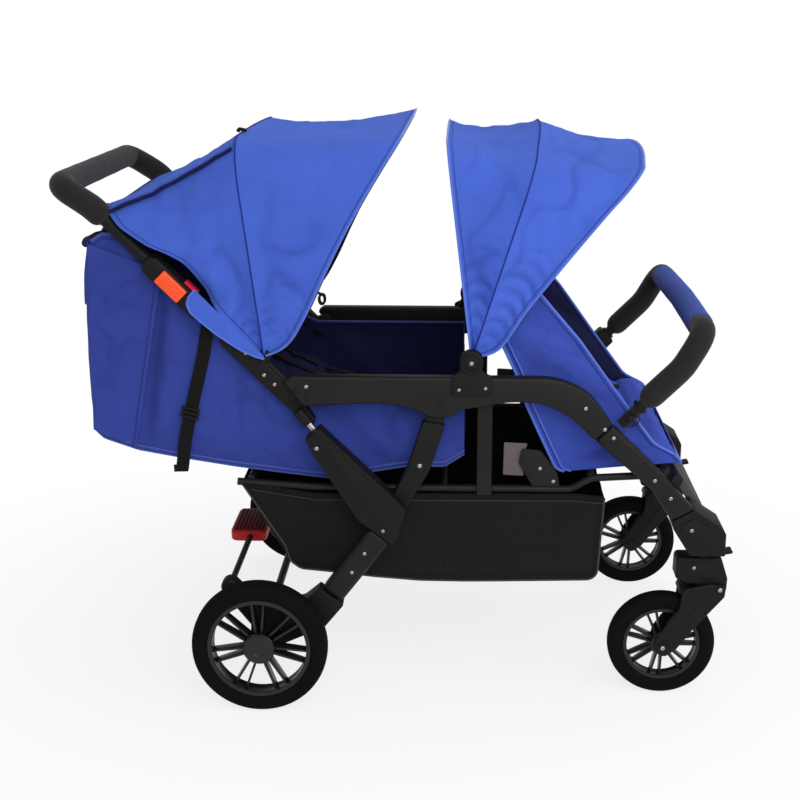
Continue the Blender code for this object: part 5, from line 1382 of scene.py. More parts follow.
def rear_pocket():
    """Panel that wraps the tub's back corners, with a rolled flap above it and an open pocket below."""
    edge_top, edge_foot = (-0.424, 0.812), (-0.487, 0.4755)
    rear_top, rear_foot = (-0.5565, 0.862), (-0.5665, 0.512)
    depth = cloth_kit().folds

    def cheek(side):
        def shape(u, v):
            x, z = between(between(rear_top, rear_foot, v), between(edge_top, edge_foot, v), u)
            lip = 0.0018 * bell(u, 0.97, 0.06)
            fall = ripple((x * 1.5, side, z * 0.6), 31, 0.06) * depth * 0.9 * min(1.0, 4 * u * (1 - u) * 1.5)
            slant = math.sin((z * 0.8 - x * 0.6) * 70 + ripple((x, side, z), 33, 0.12) * 3) * depth * 0.25
            bulge = 0.0015 * 4 * v * (1 - v)
            creases = wrinkle((x * 1.3 - z * 0.5, side, z * 0.8 + x * 0.5), 39, 0.08) * depth * 0.4
            creases *= min(1.0, 4 * u * (1 - u) * 2)
            y = max(0.264, min(0.27, 0.2655 + lip + bulge + fall * 0.5 + slant - creases))
            # The fourth value is painted shade in the creases
            return (x, side * y, z, min(1.0, creases / depth * 0.9))
        return shape

    def sewn(x, v, z):
        """A point of the back, drawn in to the cheeks at both ends."""
        near = min(1.0, min(v, 1 - v) / 0.06)
        near = near * near * (3 - 2 * near)
        side_x = rear_top[0] + (rear_foot[0] - rear_top[0]) * (rear_top[1] - z) / (rear_top[1] - rear_foot[1])
        return (side_x + (x - side_x) * near, (-0.2665 + 0.533 * v) * (1.0 + 0.002 * (1 - near)), z)

    def back(u, v):
        """The pocket itself, hanging a little off the tub's back."""
        z = 0.512 + 0.25 * (1 - u)
        x = -0.5705 - 0.005 * math.sin(math.pi * min(1.0, u * 1.05)) ** 0.6
        return sewn(x - 0.0022 * ripple((0, v * 0.5, z), 35, 0.07), v, z)

    def flap(u, v):
        z = 0.864 - 0.118 * u
        x = -0.564 - 0.0125 * math.sin(math.pi * u * 0.56) + 0.0016 * ripple((0, v * 0.5, z), 37, 0.06)
        return sewn(x, v, z)

    sheets = [cloth_panel(cheek(side), 34, 80, (-0.45, 0, 0.65), "seat cloth", "e") for side in (-1, 1)]
    sheets.append(cloth_panel(back, 40, 80, (-0.3, 0, 0.65), "seat cloth", "s"))
    sheets.append(cloth_panel(flap, 24, 80, (-0.3, 0, 0.8), "seat cloth", "e"))
    settle(sheets, "back_pocket", "chassis", [])
    roll = [(-0.561 - 0.004 * math.sin(k * 0.55), -0.258 + 0.516 * k / 40, 0.862 + 0.001 * math.sin(k * 1.3))
        for k in range(41)]
    # The roll takes the lining's very dark navy, which is painted shade
    bodywork("pocket_roll", "lining", "chassis", "", [tube(roll, 0.008, 6)], 60)


def webbing_straps():
    """Straps that hang from the arms over the tub's sides, each with its slider and a folded end."""
    parts, hardware = [], []
    for side in (-1, 1):
        y = side * 0.2745
        path = [Vector((-0.341, y, 0.722)), Vector((-0.352, y, 0.66)), Vector((-0.379, y, 0.555)),
            Vector((-0.392, y, 0.5)), Vector((-0.4, side * 0.2715, 0.446)),
            Vector((-0.402, side * 0.2715, 0.436))]
        parts.append(strap(smooth_path([(*p, 0.06) for p in path], 6), 0.024, 0.0016, (1, 0, 0)))
        parts.append(strap([(-0.4035, side * 0.2735, 0.447), (-0.403, side * 0.2735, 0.434)], 0.026, 0.0042,
            (1, 0, 0)))
        angle = math.radians(-104)
        for d in (-0.0085, 0.0, 0.0085):
            centre = along((-0.381, 0.549), angle, d)
            a, b = along(centre, angle + math.pi / 2, -0.0155), along(centre, angle + math.pi / 2, 0.0155)
            hardware.append(slab(stadium(a, b, 0.002, 0.002, 6), side, 0.275, 0.279, 0.0008, 2))
        for s in (-1, 1):
            centre = along((-0.381, 0.549), angle + math.pi / 2, s * 0.0145)
            hardware.append(slab(stadium(along(centre, angle, -0.009), along(centre, angle, 0.009), 0.0022,
                0.0022, 6), side, 0.2745, 0.2786, 0.0008, 2))
    bodywork("tub_straps", "webbing", "chassis", "", parts, 60)
    bodywork("strap_sliders", "moulding", "chassis", "", hardware)


WING = [(0.128, 0.836), (0.194, 0.68), (0.22, 0.626), (0.241, 0.565), (0.276, 0.489), (0.297, 0.444),
    (0.313, 0.4385)]
WING_FRONT = [(0.17, 0.846), (0.24, 0.798), (0.333, 0.69), (0.41, 0.584), (0.477, 0.494), (0.52, 0.472),
    (0.528, 0.46)]


def front_wings():
    """Side wings of the front seat and the cloth under its cushion."""
    depth = cloth_kit().folds

    def wing(side):
        def shape(u, v):
            x, z = between(on_line(WING, v), on_line(WING_FRONT, v), u)
            room = min(1.0, 4 * u * (1 - u) * 1.6) * min(1.0, 4 * v * (1 - v) * 2.5)
            slant = math.sin((z + x * 0.45) * 58 + ripple((x, side, z), 41, 0.13) * 2.4) * depth * 0.55
            dent = -0.0042 * bell(z - (0.6 - (x - 0.25) * 0.45), 0.0, 0.016) * bell(x, 0.3, 0.085)
            fold_z = z - (0.474 + (x - 0.4) * 0.25)
            creases = wrinkle((x * 0.8 + z * 0.5, side, z * 1.2 - x * 0.3), 47, 0.07) * depth * 0.55
            creases += 0.0075 * bell(fold_z, 0.0, 0.01) * bell(x, 0.395, 0.06)
            y = 0.26 + (slant + ripple((x, side, z * 1.4), 43, 0.06) * depth * 0.8 + dent * 1.7
                - creases) * room
            # Painted shade: low, high and the creases set how much the base colour is darkened along the lower fold,
            # the dent and the creases
            low = bell(fold_z, 0.0, 0.013) * bell(x, 0.395, 0.05)
            high = bell(z - (0.602 - (x - 0.25) * 0.45), 0.0, 0.009) * bell(x, 0.31, 0.06)
            dark = min(1.0, 1.3 * low + 0.65 * high + 0.45 * creases / depth) * room
            return (x, side * max(0.2572, min(y, 0.264)), z, dark)
        return shape

    def floor(u, v):
        x = 0.302 + 0.226 * u
        y = -0.26 + 0.52 * v
        return (x, y, 0.4405 + 0.018 * u - 0.001 * 4 * v * (1 - v) + 0.0006 * ripple((x, y, 0), 45, 0.05))

    walls = [cloth_panel(wing(side), 50, 90, (0.33, 0, 0.6), "wing cloth", "u") for side in (-1, 1)]
    walls.append(cloth_panel(floor, 30, 60, (0.42, 0, 0.6), "wing cloth", "e"))
    settle(walls, "front_seat_cloth", "chassis", ["front_seat_shell"])
    inner = [(x + 0.012, z + 0.001) for x, z in WING]
    pieces = []
    for side in (-1, 1):
        for line, y, radius, around in ((WING, 0.2604, 0.0026, 4), (WING_FRONT, 0.2604, 0.0026, 4),
                (inner, 0.2612, 0.0016, 3)):
            run = smooth_path([(x, side * y, z, 0.05) for x, z in line], 8)
            pieces.append(tube(resampled(run, 90), radius, around))
    pieces.append(tube([(0.528, -0.259 + 0.518 * k / 30, 0.4585) for k in range(31)], 0.0024, 4))
    bodywork("front_seat_piping", "trim", "chassis", "", pieces, 60)


# Cushions

def cushion(name, body, node, hinge, angle, length, rise, sink, up, offset, crosses, look, cap=0.008,
        voxel=0.0055):
    """A padded piece: a slack form is blown up by a cloth simulation, then its seams and sewn channels are drawn in.

    It is made flat about its hinge, rise high and sink times as deep, then turned into place. cap limits how far the
    air may move the form.
    """
    width = CUSHION_WIDTH
    start()
    bpy.ops.mesh.primitive_grid_add(x_subdivisions=26, y_subdivisions=54, size=1.0)
    obj = bpy.context.object
    for vertex in obj.data.vertices:
        vertex.co = (vertex.co.x * (length - 0.004), vertex.co.y * (width - 0.004), 0.0)
    open_mesh()
    bpy.ops.mesh.extrude_region_move(TRANSFORM_OT_translate={"value": (0, 0, 0.0001)})
    close_mesh()
    for vertex in obj.data.vertices:
        u, v = 2 * vertex.co.x / length, 2 * vertex.co.y / width
        h = rise * (max(0.0, 1 - abs(u) ** 4) * max(0.0, 1 - abs(v) ** 5.5)) ** 0.42 * 0.88
        vertex.co.z = h if vertex.co.z > 0.00005 else -h * sink - 0.002
    modified(obj, "REMESH", mode="VOXEL", voxel_size=voxel)
    rest = [v.co.copy() for v in obj.data.vertices]
    air = obj.modifiers.new("Air", "CLOTH")
    air.settings.use_pressure = True
    air.settings.uniform_pressure_force = 4.0
    air.settings.effector_weights.gravity = 0.0
    air.settings.quality = 5
    air.settings.tension_stiffness = 15
    air.settings.compression_stiffness = 15
    air.settings.mass = 0.3
    for frame_number in range(1, 21):
        bpy.context.scene.frame_set(frame_number)
    pick(obj)
    bpy.ops.object.modifier_apply(modifier=air.name)
    bpy.context.scene.frame_set(1)
    for vertex, before in zip(obj.data.vertices, rest):
        move = vertex.co - before
        if move.length > cap:
            vertex.co = before + move * (cap / move.length)
    for vertex in obj.data.vertices:
        x, y, z = vertex.co
        upper = max(0.0, min(1.0, (z + rise * sink * 0.5) / (rise * 0.6)))
        drawn, broad = (bell(y, 0.0, w) + sum(bell(x, c, w) for c in crosses) for w in (0.0055, 0.022))
        near = min(length / 2 - abs(x), width / 2 - abs(y))
        pleats = x * 95 if abs(y) > abs(x) * width / length else y * 95
        pucker = math.sin(pleats + 3 * noise.noise(vertex.co * 30)) * 0.0009 * bell(near, 0.016, 0.012)
        soft = noise.noise(vertex.co * 22 + fresh(len(name))) * 0.001
        z = z - upper * (0.006 * min(1.0, drawn) + 0.004 * min(1.0, broad)) + pucker + soft
        vertex.co = (max(-length / 2, min(length / 2, x)), max(-width / 2, min(width / 2, y)),
            max(-rise * sink - 0.001, min(rise, z)))
    modified(obj, "SUBSURF", levels=1, render_levels=1)
    place = (Matrix.Translation((hinge[0], 0, hinge[1])) @ Matrix.Rotation(-math.radians(angle), 4, "Y")
        @ Matrix.Translation((offset, 0, 0)) @ Matrix.Diagonal((1, 1, up, 1)))
    obj.data.transform(place)
    if up < 0:
        obj.data.flip_normals()
    bodywork(name, look, body, node, [obj], 180)
    ring = []
    for k in range(160):
        c, s = math.cos(math.tau * k / 160), math.sin(math.tau * k / 160)
        x = math.copysign(abs(c) ** 0.2, c) * (length / 2 - 0.0022)
        y = math.copysign(abs(s) ** 0.2, s) * (width / 2 - 0.0022)
        ring.append(place @ Vector((x, y, -0.0005)))
    bodywork(name + "_piping", "piping", body, "", [tube(ring, 0.002, 3, closed=True)], 60)


# Basket

BASKET_LINE = [(-0.288, 0.417), (-0.247, 0.353), (-0.209, 0.294), (-0.1995, 0.262), (-0.18, 0.2475),
    (-0.118, 0.242), (-0.04, 0.2335), (0.046, 0.2275), (0.13, 0.2272), (0.21, 0.229), (0.3, 0.2315),
    (0.366, 0.2335), (0.3787, 0.244), (0.387, 0.396)]


def basket():
    top = [(-0.288, 0.417), (-0.15, 0.3965), (0.05, 0.398), (0.333, 0.401), (0.387, 0.396)]
    depth = 0.0022

    def wall(side):
        def shape(u, v):
            x, z = between(on_line(top, u), on_line(BASKET_LINE[3:-1], u), v)
            room = min(1.0, 4 * u * (1 - u) * 2) * min(1.0, 4 * v * (1 - v) * 1.5)
            long_fold = ripple((x * 0.55, side, z * 1.3), 51, 0.075) * depth
            long_fold -= wrinkle((x * 0.5, side, z * 1.2), 59, 0.075) * depth
            sag_fold = math.sin(z * 150 + ripple((x, side, z), 53, 0.14) * 3.5) * 0.0006
            seam = -0.0018 * bell(x, 0.09, 0.003) + 0.0012 * bell(x, 0.097, 0.004)
            return (x, side * min(0.288, 0.2862 + (long_fold + sag_fold + seam) * room), z)
        return shape

    walls = [cloth_panel(wall(side), 110, 36, (0.05, 0, 0.32), "basket cloth", thickness=0.0013)
        for side in (-1, 1)]
    walls.append(cloth_panel(strip(BASKET_LINE, 0.2858, 57), 110, 44, (0.05, 0, 0.34), "basket cloth",
        thickness=0.0013))
    settle(walls, "basket_cloth", "chassis", ["basket"])
    pieces, bindings = [], []
    for side in (-1, 1):
        line = smooth_path([(x, side * 0.2866, z, 0.02) for x, z in BASKET_LINE], 6)
        bindings.append(tube(resampled(line, 130), 0.0019, 4))
        upper = [(x, side * 0.2866, z) for x, z in [(-0.286, 0.415), *top[1:-1], (0.386, 0.396)]]
        pieces.append(tube(resampled(upper, 60), 0.0028, 5))
        hem = [(x, side * 0.2868, z - 0.011) for x, z in [(-0.27, 0.415), *top[1:-1], (0.386, 0.396)]]
        bindings.append(tube(resampled(hem, 60), 0.0009, 3))
    bodywork("basket_binding", "binding", "chassis", "", bindings, 60)
    bodywork("basket_hem", "webbing", "chassis", "", pieces, 60)


def seat_frame():
    """Tubes under the seats, with crossbars, hangers, recline plates and bosses."""
    parts = []
    for side in (-1, 1):
        y = side * SEAT_TUBE_Y
        parts.append(tube(smooth_path([(-0.296, y, 0.418, 0), (-0.15, y, 0.409, 0.1),
            (0.325, y, 0.4105, 0.04), (0.362, y, 0.433, 0.04), (0.476, y, 0.44, 0)], 12), 0.007, 8))
        parts.append(slab(fillet([(0.15, 0.4, 0.003), (0.178, 0.4, 0.003), (0.178, 0.612, 0.008),
            (0.15, 0.612, 0.008)], 5), side, 0.281, RAIL_INNER - 0.0003, 0.002, 3))
        parts.append(slab(fillet([(0.258, 0.408, 0.01), (0.305, 0.412, 0.01), (0.3, 0.44, 0.01),
            (0.268, 0.485, 0.008), (0.232, 0.489, 0.01), (0.228, 0.46, 0.01)], 6), side, 0.277, 0.283, 0.0015,
            3))
        parts.append(knob((0.468, 0.44), 0.0095, side * 0.275, side * (RAIL_INNER - 0.0003), 0.001, 28))
        screw(0.267, 0.283, 0.451, side, "chassis")
        screw(0.292, 0.283, 0.426, side, "chassis")
    for x, z in ((-0.27, 0.4235), (-0.114, 0.4102), (0.09, 0.4115), (0.362, 0.4354)):
        parts.append(tube([(x, -SEAT_TUBE_Y, z), (x, SEAT_TUBE_Y, z)], 0.0065, 8))
    bodywork("under_seat_tubes", "frame paint", "chassis", "seat_frame", parts)
    tabs = [slab(fillet([(0.199, 0.436, 0.003), (0.238, 0.434, 0.003), (0.232, 0.466, 0.01),
        (0.244, 0.497, 0.003), (0.2, 0.499, 0.003)], 5), side, 0.2745, 0.2768, 0.0008, 2) for side in (-1, 1)]
    bodywork("webbing_tabs", "patch plastic", "chassis", "", tabs)


# Front end and brake

def footrest():
    """Ribbed plate on its pins, with a rolled lower lip."""
    depth, end = 0.009, 0.128
    outline = [(-0.01, -depth + 0.003), (-0.0095, depth - 0.004), (-0.006, depth - 0.0015)]
    for k in range(15):
        x = 0.008 + (end - 0.018) * k / 14
        outline += [(x - 0.003, depth - 0.0026), (x - 0.0018, depth - 0.0006), (x - 0.0006, depth),
            (x + 0.0006, depth), (x + 0.0018, depth - 0.0006), (x + 0.003, depth - 0.0026)]
    outline += [(end - 0.002, depth - 0.003), (end, depth - 0.006), (end, -depth + 0.005),
        (end - 0.003, -depth)]
    board = plate(outline, -0.232, 0.232, 0.0009, 2)
    pin = plate(ring_points((0, 0), 0.005, 24), -0.294, 0.294, 0.0006, 2)
    lips = [plate(fillet([(-0.01, -depth + 0.002, 0.002), (-0.01, depth, 0.003),
        (end - 0.003, depth + 0.0002, 0.003), (end - 0.001, -depth + 0.004, 0.002)], 4),
        *sorted((s * 0.2235, s * 0.2318)), 0.0012, 2) for s in (-1, 1)]
    whole = joined([board, pin, *lips])
    whole.data.transform(Matrix.Translation((FOOTREST_PIVOT[0], 0, FOOTREST_PIVOT[1]))
        @ Matrix.Rotation(math.radians(57.4), 4, "Y"))
    bodywork("foot_board", "footrest plastic", "footrest", "footrest", [whole])


def bumper_half(start):
    x, z = BUMPER_FOOT
    a = along(BUMPER_FOOT, SLOPE, start)
    return [(a[0], -0.3, a[1], 0), (x + 0.112, -0.3, z + 0.112, 0.11), (x + 0.148, -0.3, z + 0.176, 0.06),
        (x + 0.151, 0, z + 0.1795, 0)]


def bumper():
    """Foam bar with its two tube ends, and the sewn cover over its middle."""
    path = resampled(mirrored(smooth_path(bumper_half(0.064), 14)), 150)
    ends = [0.5, 0.78, 0.92, 0.98, 1.0]
    radii = [0.0222 * (ends[min(i, 149 - i)] if min(i, 149 - i) < 5 else 1.0) for i in range(150)]
    parts = [tube(path, radii, 12)]
    for side in (-1, 1):
        low, high = along(BUMPER_FOOT, SLOPE, 0.007), along(BUMPER_FOOT, SLOPE, 0.095)
        parts.append(tube([(low[0], side * BUMPER_Y, low[1]), (high[0], side * BUMPER_Y, high[1])], 0.0105,
            10))
    bodywork("bumper_foam", "foam", "bumper_bar", "bumper_bar", parts, 50)
    middle = [p for p in path if abs(p.y) < 0.252]
    count = len(middle) - 1
    depth = cloth_kit().folds

    def cover(u, v):
        i = min(count, round(u * count))
        p = middle[i]
        ahead = (middle[min(i + 1, count)] - middle[max(i - 1, 0)]).normalized()
        down = Vector((0.4, 0, -0.92))
        down = (down - ahead * ahead.dot(down)).normalized()
        side_way = ahead.cross(down)
        turn = math.tau * v
        r = 0.0236 + 0.0006 * ripple((p.x + math.cos(turn) * 0.02, p.y, p.z + math.sin(turn) * 0.02), 61,
            0.04)
        r -= 0.0009 * (bell(u, 0.0, 0.008) + bell(u, 1.0, 0.008))
        if v in (0.0, 1.0):
            r += 0.0006
        return p + (down * math.cos(turn) + side_way * math.sin(turn)) * r

    sleeve = cloth_panel(cover, count, 40, (0.55, 0, 0.716), "sleeve", thickness=0.0008)
    settle([sleeve], "bumper_cover", "bumper_bar", [])


def bumper_sockets():
    foot = Vector(BUMPER_FOOT)
    up = Vector((math.cos(SLOPE), math.sin(SLOPE)))
    across = Vector((-up.y, up.x))
    for side, word in SIDES:
        corners = [foot - up * 0.0002 + across * 0.021, foot - up * 0.0012 - across * 0.021,
            foot + up * 0.053 - across * 0.0195, foot + up * 0.053 + across * 0.0195]
        body = slab(fillet([(*c, r) for c, r in zip(corners, (0.004, 0.004, 0.006, 0.006))], 6), side, 0.282,
            0.318, 0.0045, 4)
        cut(body, tube([((foot + up * d).x, side * BUMPER_Y, (foot + up * d).y) for d in (0.006, 0.08)],
            0.0108, 10))
        centre = foot + up * 0.03
        cut(body, slab(ring_points(centre, 0.0068, 32), side, 0.3122, 0.33))
        rings = [turned([(r, side * 0.3172), (r + 0.0022, side * 0.3172), (r + 0.0019, side * 0.3192),
            (r + 0.0003, side * 0.3192)], centre, 48) for r in (0.0092, 0.0135)]
        lips = [foot + up * d for d in (0.0515, 0.053, 0.0575, 0.0585)]
        collar = tube([(p.x, side * BUMPER_Y, p.y) for p in lips], [0.0142, 0.0148, 0.0146, 0.0132], 12)
        bodywork("bumper_holder_" + word, "moulding", "chassis", "bumper_socket_" + word,
            [body, *rings, collar])
        button = slab(ring_points(centre, 0.0065, 32), side, 0.3172, 0.3206, 0.0009, 3)
        bodywork("release_button_" + word, "moulding", "bumper_button_" + word, "bumper_button_" + word,
            [button])


def brake():
    """Foot pedal with ribs across its top, on the shaft between the housings."""
    half = 0.037
    pedal = plate(fillet([(-half, -0.07, 0.019), (half, -0.07, 0.015), (half, 0.07, 0.015),
        (-half, 0.07, 0.019)], 8), -0.01, 0.0125, 0.0045, 4)
    pedal.data.transform(Matrix.Rotation(math.radians(90), 4, "X"))
    ribs = [plate(stadium((-half + 0.01 + 0.0078 * k, 0.0118), (-half + 0.0101 + 0.0078 * k, 0.014), 0.0016,
        0.0013, 5), -0.06, 0.06, 0.0006, 2) for k in range(8)]
    ribs.append(plate(fillet([(-half + 0.0045, 0.0105, 0.002), (half - 0.0045, 0.0105, 0.002),
        (half - 0.005, 0.0132, 0.001), (-half + 0.005, 0.0132, 0.001)], 3), -0.062, 0.062, 0.0004, 2))
    pad = joined(ribs)
    for part in (pedal, pad):
        part.data.transform(Matrix.Translation((BRAKE_AXIS[0] - 0.004, 0, BRAKE_AXIS[1])))
    shaft = tube([(BRAKE_AXIS[0], y, BRAKE_AXIS[1]) for y in (-0.338, -0.3375, 0.3375, 0.338)],
        [0.0052, 0.006, 0.006, 0.0052], 8)
    bodywork("foot_pedal", "red plastic", "brake_pedal", "", [pedal])
    bodywork("pedal_pad", "pedal plastic", "brake_pedal", "", [pad])
    bodywork("brake_rod", "frame paint", "brake_pedal", "brake_pedal", [shaft])
    axle = tube([(REAR_AXLE[0], y, REAR_AXLE[1]) for y in (-0.386, -0.338, -0.3379, 0.3379, 0.338, 0.386)],
        [0.005, 0.005, 0.008, 0.008, 0.005, 0.005], 10)
    bodywork("rear_axle_shaft", "frame paint", "rear_frame", "rear_axle", [axle])


def screws():
    """One button head with a round socket, modelled once and set at every place that was remembered."""
    size = bpy.context.scene.stroller_frame.screw
    start()
    bpy.ops.mesh.primitive_circle_add(vertices=24, radius=size, fill_type="NGON")
    head = bpy.context.object
    open_mesh()
    bpy.ops.mesh.extrude_region_move(TRANSFORM_OT_translate={"value": (0, 0, size * 0.22)})
    bpy.ops.mesh.inset(thickness=size * 0.2, depth=size * 0.2)
    bpy.ops.mesh.inset(thickness=size * 0.22, depth=size * 0.08)
    bpy.ops.mesh.inset(thickness=size * 0.06, depth=0)
    bpy.ops.mesh.inset(thickness=size * 0.02, depth=-size * 0.3)
    close_mesh()
    groups = {}
    for x, y, z, side, body, factor in SCREWS:
        copy = head.copy()
        copy.data = head.data.copy()
        bpy.context.collection.objects.link(copy)
        copy.data.transform(Matrix.Translation((x, side * (y - 0.0002), z))
            @ Matrix.Rotation(math.radians(90 if side < 0 else -90), 4, "X") @ Matrix.Scale(factor, 4))
        groups.setdefault(body, []).append(copy)
    remove(head)
    for body, copies in groups.items():
        bodywork("screws_" + body, "screw steel", body, "", copies)


def vent_flap(shape_back, body):
    """Cloth flap over the hood's back: raised along its side edges, with dark piping there that is partly painted
    shade of the gap under them.
    """
    first, last, count = 49, 91, 140
    wide = last - first

    def shape(u, v):
        p = Vector(shape_back(0.02 + u, (first + wide * v) / count)[:3])
        near = min(v, 1 - v)
        lift = 0.0022 + 0.0052 * math.exp(-(near / 0.07) ** 2) * math.sin(math.pi * min(1.0,
            u * 0.9 + 0.05)) ** 0.7 + 0.0022 * u
        return p + Vector((-0.35, 0, 1.0)).normalized() * lift

    flap = cloth_panel(shape, 30, wide, (-0.25, 0, 0.8), "cloth", "ev")
    edges = [tube(resampled([shape(k / 60, v) for k in range(61)], 90), 0.003, 4) for v in (0.0, 1.0)]
    edges.append(tube(resampled([shape(1.0, k / wide) for k in range(wide + 1)], 90), 0.0021, 4))
    settle([flap], "vent_flap", body, [])
    bodywork("vent_piping", "dark piping", body, "", edges, 60)


SKIRT = [(-0.004, 0.003), (0.01, 0.0115), (0.035, 0.021), (0.092, 0.0325), (0.149, 0.036), (0.163, 0.03),
    (0.17, 0.018), (0.171, 0.000)]


def hood_skirt():
    """Tails of the rear hood, which wrap over the arms below the latches."""
    tails, pieces = [], []
    for side in (-1, 1):
        def shape(u, v):
            along_arm, out = on_line(SKIRT, u)
            d = 0.171 * u + (along_arm - 0.171 * u) * v
            x, z = along(along(REAR_HUB, ARM_DIR, d), ARM_DIR + math.pi / 2, out * v)
            wave = 0.0011 * math.sin(along_arm * 95 + v * 2) * v + 0.001 * ripple((x, side, z), 71, 0.04)
            return (x, side * (0.3042 + wave), z)

        tails.append(cloth_panel(shape, 40, 10, (-0.3, 0, 0.7), "cloth", ""))
        pieces.append(tube([shape(k / 60, 1.0) for k in range(61)], 0.0018, 4))
    settle(tails, "rear_hood_tails", "handle", [])
    bodywork("rear_hood_tail_hem", "trim", "handle", "", pieces, 60)


def hood_fittings(seam_rib, front_rib):
    """Clips that hold the rear hood's cloth on its fixed bow, and the small loop under its front hem."""
    clips = []
    for at in (seam_rib[57], seam_rib[-45]):
        spine = [(at.x - 0.006, at.y, at.z + 0.002, 0), (at.x - 0.004, at.y, at.z + 0.0075, 0.004),
            (at.x + 0.01, at.y, at.z + 0.0045, 0)]
        clips.append(tube(smooth_path(spine, 5), 0.0034, 5))
    bodywork("hood_clips", "moulding", "handle", "", clips, 40)
    top = front_rib[15]
    y = top.y + 0.0075
    turns = [math.tau * k / 30 for k in range(31)]
    ring = [(top.x + 0.01 + 0.0052 * math.sin(t), y, top.z - 0.012 + 0.0092 * math.cos(t)) for t in turns]
    tab = [(top.x - 0.004, y, top.z + 0.002), (top.x + 0.008, y, top.z - 0.003)]
    loops = [strap(ring, 0.009, 0.0046, (0, 1, 0)), strap(tab, 0.009, 0.003, (0, 1, 0))]
    bodywork("hem_loops", "webbing", "rear_hood", "", loops, 40)


def harness(place, hinge, angle, rise, pad_centre, pad_angle, pad_rise):
    """Shoulder, waist and crotch straps with a buckle for each of the two children side by side."""
    ahead = (math.cos(math.radians(angle)), math.sin(math.radians(angle)))
    tilt = math.radians(pad_angle)

    def back(d, y, off=0.0):
        """A point in front of the backrest, d up from its hinge."""
        lift = rise + 0.003 + off
        return Vector((hinge[0] + ahead[0] * d + ahead[1] * lift, y,
            hinge[1] + ahead[1] * d - ahead[0] * lift))

    def seat(d, y, off=0.0):
        """A point above the cushion, d forward from its middle."""
        lift = pad_rise + 0.0025 + off
        return Vector((pad_centre[0] + math.cos(tilt) * d - math.sin(tilt) * lift, y,
            pad_centre[1] + math.sin(tilt) * d + math.cos(tilt) * lift))

    upper, lower, buckles = [], [], []
    for middle in (-CHILD_Y, CHILD_Y):
        centre = seat(-0.03, middle, 0.01)
        for s in (-1, 1):
            belt = [back(0.33, middle + s * 0.052, -0.006), back(0.322, middle + s * 0.052),
                back(0.2, middle + s * 0.046), back(0.075, middle + s * 0.036)]
            upper.append(strap(resampled(belt, 40), 0.022, 0.0014, (0, 1, 0)))
            pad = [back(0.3, middle + s * 0.051, 0.003), back(0.15, middle + s * 0.043, 0.003)]
            upper.append(strap(resampled(pad, 26), 0.034, 0.005, (0, 1, 0)))
            web = [back(0.06, middle + s * 0.034, 0.002), centre + Vector((0.002, s * 0.012, 0.002))]
            lower.append(strap(resampled(web, 16), 0.022, 0.0014, (0, 1, 0)))
            waist = [(*seat(-0.085, middle + s * 0.105, 0.004), 0),
                (*seat(-0.06, middle + s * 0.07, 0.006), 0.05), (*(centre + Vector((0, s * 0.02, 0))), 0)]
            lower.append(strap(smooth_path(waist, 6), 0.022, 0.0014, (0.8, 0, 0.6)))
        crotch = [(*(centre + Vector((0.01, 0, 0))), 0), (*seat(0.01, middle, 0.004), 0.02),
            (*seat(0.034, middle), 0)]
        lower.append(strap(smooth_path(crotch, 6), 0.026, 0.0016, (0, 1, 0)))
        half = [(0.02, -0.01), (0.024, 0.004), (0.014, 0.018)]
        outline = [(-0.02, -0.01), *half, (-0.014, 0.018), (-0.024, 0.004)]
        buckle = plate(fillet([(a, b, 0.006) for a, b in outline], 5), -0.0055, 0.0055, 0.0025, 3)
        disc = plate(ring_points((0, 0.002), 0.0085, 28), -0.0068, -0.004, 0.001, 2)
        whole = joined([buckle, disc])
        whole.data.transform(Matrix.Translation(centre + Vector((0.004, 0, 0.004)))
            @ Matrix.Rotation(math.radians(-90), 4, "Z") @ Matrix.Rotation(math.radians(62), 4, "X"))
        buckles.append(whole)
    bodywork(place + "_shoulder_straps", "webbing", place + "_backrest", "", upper, 60)
    bodywork(place + "_waist_straps", "webbing", "chassis", "", lower, 60)
    bodywork(place + "_buckles", "moulding", "chassis", "", buckles)


# Stage

